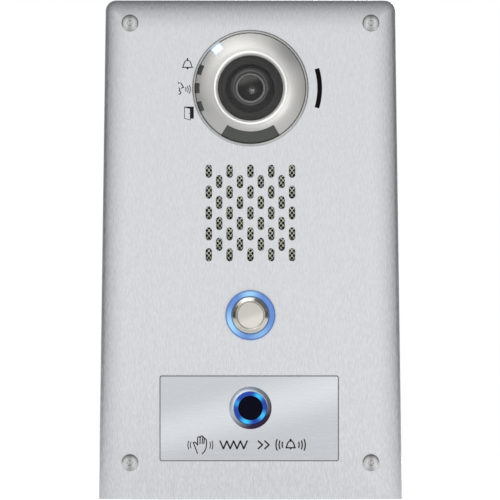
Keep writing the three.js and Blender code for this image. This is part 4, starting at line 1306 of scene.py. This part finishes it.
JACK = middle("network_jack")
TERMINAL = middle("terminal_plug")
WAYS = 8
WAY_PITCH = 3.81
MODULE_CORNER = 4
MODULE_WALL = 2


def way_places():
    for i in range(WAYS):
        yield TERMINAL.x + (i - (WAYS - 1) / 2) * WAY_PITCH


def make_gaskets():
    """The rubber strip against the wall, and the foam ring between the loudspeaker and its mesh."""
    front = INSIDE + INNER_DEEP + 0.12

    def loops(inset, soft):
        full = panel_loop(inset, inset, inset)
        drawn_in = panel_loop(inset + soft, inset + soft, inset + soft)
        return [(drawn_in, front), (full, -2.2), (full, -0.4), (drawn_in, 0)]

    strip = Piece("panel_gasket_fine")
    strip.stack(loops(2.45, 0.3), [loops(5.55, -0.3)])
    strip.make("rubber")
    low, high = box("speaker_gasket")
    radius = (high.x - low.x) / 2
    ring = turned("speaker_gasket_fine", middle("speaker_gasket"), [
        (radius - 3.4, low.y + 0.02), (radius, low.y + 0.02), (radius, high.y), (radius - 3.4, high.y),
    ], "foam", soft=0.35)


def make_housing():
    """A moulded tray with grooves along its sides."""
    low, high = box("rear_housing")

    def loop(inset):
        return inset_box(low, high, inset, MODULE_CORNER - inset)

    layers = [(loop(0.4), low.y), (loop(0), low.y + 0.4)]
    for y in (8, 18, 28):
        layers += [(loop(0), y), (loop(0.4), y + 0.4), (loop(0.4), y + 1.6), (loop(0), y + 2)]
    layers += [(loop(0), high.y - 0.3), (loop(0.3), high.y)]
    inner = [(loop(MODULE_WALL), low.y), (loop(MODULE_WALL), high.y)]
    tray = Piece("rear_housing_fine")
    tray.stack(layers, [inner])
    tray.make("dark_plastic")


def make_back_cover():
    """The flat cover with its openings, a recess for a label and the bosses round its screws."""
    low, high = box("back_cover")
    inner = high.y - MODULE_WALL

    def loop(inset):
        return inset_box(low, high, inset, MODULE_CORNER - min(inset, 3.2))

    header_low, header_high = box("terminal_header")
    header_width = header_high.x - header_low.x + 0.2
    reset = middle("reset_button")
    lever_slot = rounded_box(8.3, 13.3, 62.9, 81.6, 0.5, 3)
    outlines = [lever_slot, rectangle(JACK, 16.8, 16.8), rectangle(TERMINAL, header_width, 10.4)]
    outlines += [circle(reset.x, reset.z, 1.9, 24)]
    screws = [middle(f"cover_screw_{i}") for i in range(1, 5)]
    outlines += [circle(place.x, place.z, 1.8, 24) for place in screws]
    holes = [chamfered(outline, high.y, inner, -0.2) for outline in outlines]
    label = rounded_box(-30, 30, -8, 34, 2, 5)
    recess = [(grown(label, 0.15), high.y), (label, high.y - 0.3), (label, high.y - 0.35)]
    cover = Piece("back_cover_fine")
    cover.stack([(loop(0.6), high.y), (loop(0), high.y - 0.6), (loop(0), inner)], holes, [recess])
    lip_outer, lip_inner, lip_end = loop(2.3), loop(3.8), inner - 2.5
    cover.stack([(lip_outer, inner), (lip_outer, lip_end)], [[(lip_inner, inner), (lip_inner, lip_end)]])
    for place in screws:
        cover.revolve(place.x, place.z, [(1.8, inner), (3.2, inner), (3.2, low.y), (1.8, low.y)], 32)
    cover.make("dark_plastic")


def make_cover_screws():
    for i in range(1, 5):
        place = middle(f"cover_screw_{i}")
        low, high = box(f"cover_screw_{i}")
        head = (high.z - low.z) / 2
        under = high.y - 1.9
        piece = Piece(f"cover_screw_fine_{i}", (place.x, 0, place.z))
        thread = []
        for k in range(20):
            y = under - 1 - k * 1.0
            thread += [(1.5, y), (1.25, y - 0.5)]
        profile = [(0, high.y), (1.2, high.y - 0.08), (2.1, high.y - 0.4), (head - 0.1, high.y - 1.1),
                   (head, under), (1.5, under), *thread, (0.9, low.y + 0.2), (0, low.y)]
        piece.revolve(place.x, place.z, profile, 40)
        screw = piece.solid()
        arm, half = 1.5, 0.28
        cross = [(arm, -half), (arm, half), (half, half), (half, arm), (-half, arm), (-half, half),
                 (-arm, half), (-arm, -half), (-half, -half), (-half, -arm), (half, -arm), (half, -half)]
        cutter = Piece("cross_recess")
        cutter.prism(shifted(cross, place.x, place.z), high.y - 1.2, high.y + 1)
        carve(screw, cutter.solid())
        dress(screw, "zinc_steel", node=f"cover_screw_{i}")


def make_network_jack():
    """A shielded jack: tin shell, black mouth with its latch way, eight gold contacts."""
    low, high = box("network_jack")
    floor = 28.6
    shell = [(rectangle(JACK, 15.4, 15.4), high.y), (rectangle(JACK, 16, 16), high.y - 0.3),
             (rectangle(JACK, 16, 16), low.y)]
    half_x, half_z, latch = 6.1, 4.2, 3.1
    outline = [(-half_x, -half_z), (-latch, -half_z), (-latch, -half_z - 1.8), (latch, -half_z - 1.8),
               (latch, -half_z), (half_x, -half_z), (half_x, half_z), (-half_x, half_z)]
    mouth = shifted(outline, JACK.x, JACK.z)
    piece = Piece("network_jack_fine")
    piece.stack(shell, pockets=[chamfered(mouth, high.y, floor, -0.25)])
    jack = piece.make("jack_shell", "black_plastic")
    for face in jack.data.polygons:
        spot = face.center / MM
        inside = abs(spot.x - JACK.x) < half_x + 0.05 and abs(spot.z - JACK.z) < half_z + 1.85
        if inside and spot.y < high.y - 0.3 and spot.y > low.y + 0.5:
            face.material_index = 1
    contacts = Piece("network_jack_contacts")
    for k in range(8):
        x = JACK.x + (k - 3.5) * 1.02
        contacts.tube([(x, floor + 0.3, JACK.z + half_z - 0.3), (x, high.y - 3.4, JACK.z + half_z - 0.5),
                       (x, high.y - 3.0, JACK.z + half_z - 0.8), (x, floor + 2, JACK.z + 0.9)], 0.2, 6)
    contacts.make("gold", slot="jack_shell")


def make_terminal():
    """The board's pin header and the plug that pulls out of it, with its screws and wire holes."""
    low, high = box("terminal_header")
    header = Piece("terminal_header_fine")
    place = middle("terminal_header")
    outer, inner = rectangle(place, high.x - low.x, 8.8), rectangle(place, high.x - low.x - 1.8, 7.0)
    floor = low.y + 1.5
    header.stack(chamfered(outer, high.y, low.y, 0.2), pockets=[chamfered(inner, high.y, floor, -0.15)])
    header.make("green_plastic")
    pins = Piece("terminal_header_pins")
    for x in way_places():
        pins.block((x - 0.5, x + 0.5), (floor, floor + 5), (place.z - 0.5, place.z + 0.5), 0.15)
    pins.make("gold", slot="jack_shell")

    low, high = box("terminal_plug")
    outline = inset_box(low, high, 0, 0.5, 3)
    wires, seats, sockets = [], [], []
    for x in way_places():
        mouth = rounded_box(x - 1.2, x + 1.2, TERMINAL.z - 2.6, TERMINAL.z - 0.2, 0.3, 2)
        wires.append(chamfered(mouth, high.y, high.y - 6, -0.15))
        seat = circle(x, TERMINAL.z + 1.45, 1.3, 20)
        seats.append(chamfered(seat, high.y, high.y - 1.2, -0.1))
    plug = Piece("terminal_plug_fine")
    plug.stack(chamfered(outline, high.y, low.y + 7, 0.25), pockets=wires + seats)
    for x in way_places():
        hole = Vector((x, 0, TERMINAL.z))
        sockets.append([(rectangle(hole, 1.8, 1.8), low.y), (rectangle(hole, 1.8, 1.8), low.y + 6)])
    plug.stack(chamfered(outline, low.y, low.y + 6.99, 0.2), pockets=sockets)
    plug.make("green_plastic", body="terminal_plug")
    for i, x in enumerate(way_places(), start=1):
        screw = Piece(f"terminal_screw_{i}", (x, 0, TERMINAL.z + 1.45))
        screw.revolve(x, TERMINAL.z + 1.45, [(0, high.y - 0.55), (1.0, high.y - 0.6), (1.2, high.y - 0.8),
                                             (1.2, high.y - 1.15), (0, high.y - 1.15)], 24)
        screw = screw.solid()
        slot = Piece("screw_slot")
        slot.block((x - 2, x + 2), (high.y - 0.85, high.y), (TERMINAL.z + 1.25, TERMINAL.z + 1.65), 0)
        carve(screw, slot.solid())
        dress(screw, "zinc_steel", body="terminal_plug")


def make_reset_button():
    place = middle("reset_button")
    low, high = box("reset_button")
    radius = half_width("reset_button")
    turned("reset_button_fine", place, [
        (0, high.y - 0.25), (radius - 0.5, high.y), (radius, high.y), (radius, low.y), (0, low.y),
    ], "black_plastic", soft=0.2, segments=40, body="reset_button")


def make_spring():
    """The call button's return spring, built at one length; the real spring shortens by the cap's travel when
    the button is pressed.
    """
    low, high = box("button_spring")
    wire = 0.35
    coil = 6.4
    turns = 3
    path = []
    for k in range(turns * 24 + 1):
        a = 2 * math.pi * k / 24
        share = min(1, max(0, (k / 24 - 0.35) / (turns - 0.7)))
        y = low.y + wire + (high.y - low.y - 2 * wire) * share
        path.append((BUTTON.x + coil * math.cos(a), y, BUTTON.z + coil * math.sin(a)))
    piece = Piece("button_spring_fine")
    piece.tube(path, wire, 8)
    spring = piece.make("spring_steel", sharp=80)
    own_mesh(spring)


# ---- CAD nodes that stay as they are: each takes the material of its slot ----


CAD_LOOKS = {"tilt_cradle": "barrel_plastic"}  # the nodes whose look isn't their slot's


def dress_cad_nodes():
    for name, node in frame["nodes"].items():
        node.data.materials.clear()
        node.data.materials.append(LOOKS[CAD_LOOKS.get(name, SLOT_OF[name])])


make_looks()
make_camera()
make_floor()
make_world()
dress_cad_nodes()
make_panel()
make_screws()
make_indicator_prints()
make_camera_front()
make_tilting_camera()
make_microphone()
make_speaker_mesh()
make_call_button()
make_sensor()
make_plate_prints()
make_gaskets()
make_housing()
make_back_cover()
make_cover_screws()
make_network_jack()
make_terminal()
make_reset_button()
make_spring()
for softbox in SOFTBOXES:
    make_softbox(*softbox)
bpy.context.scene.view_settings.view_transform = "Standard"
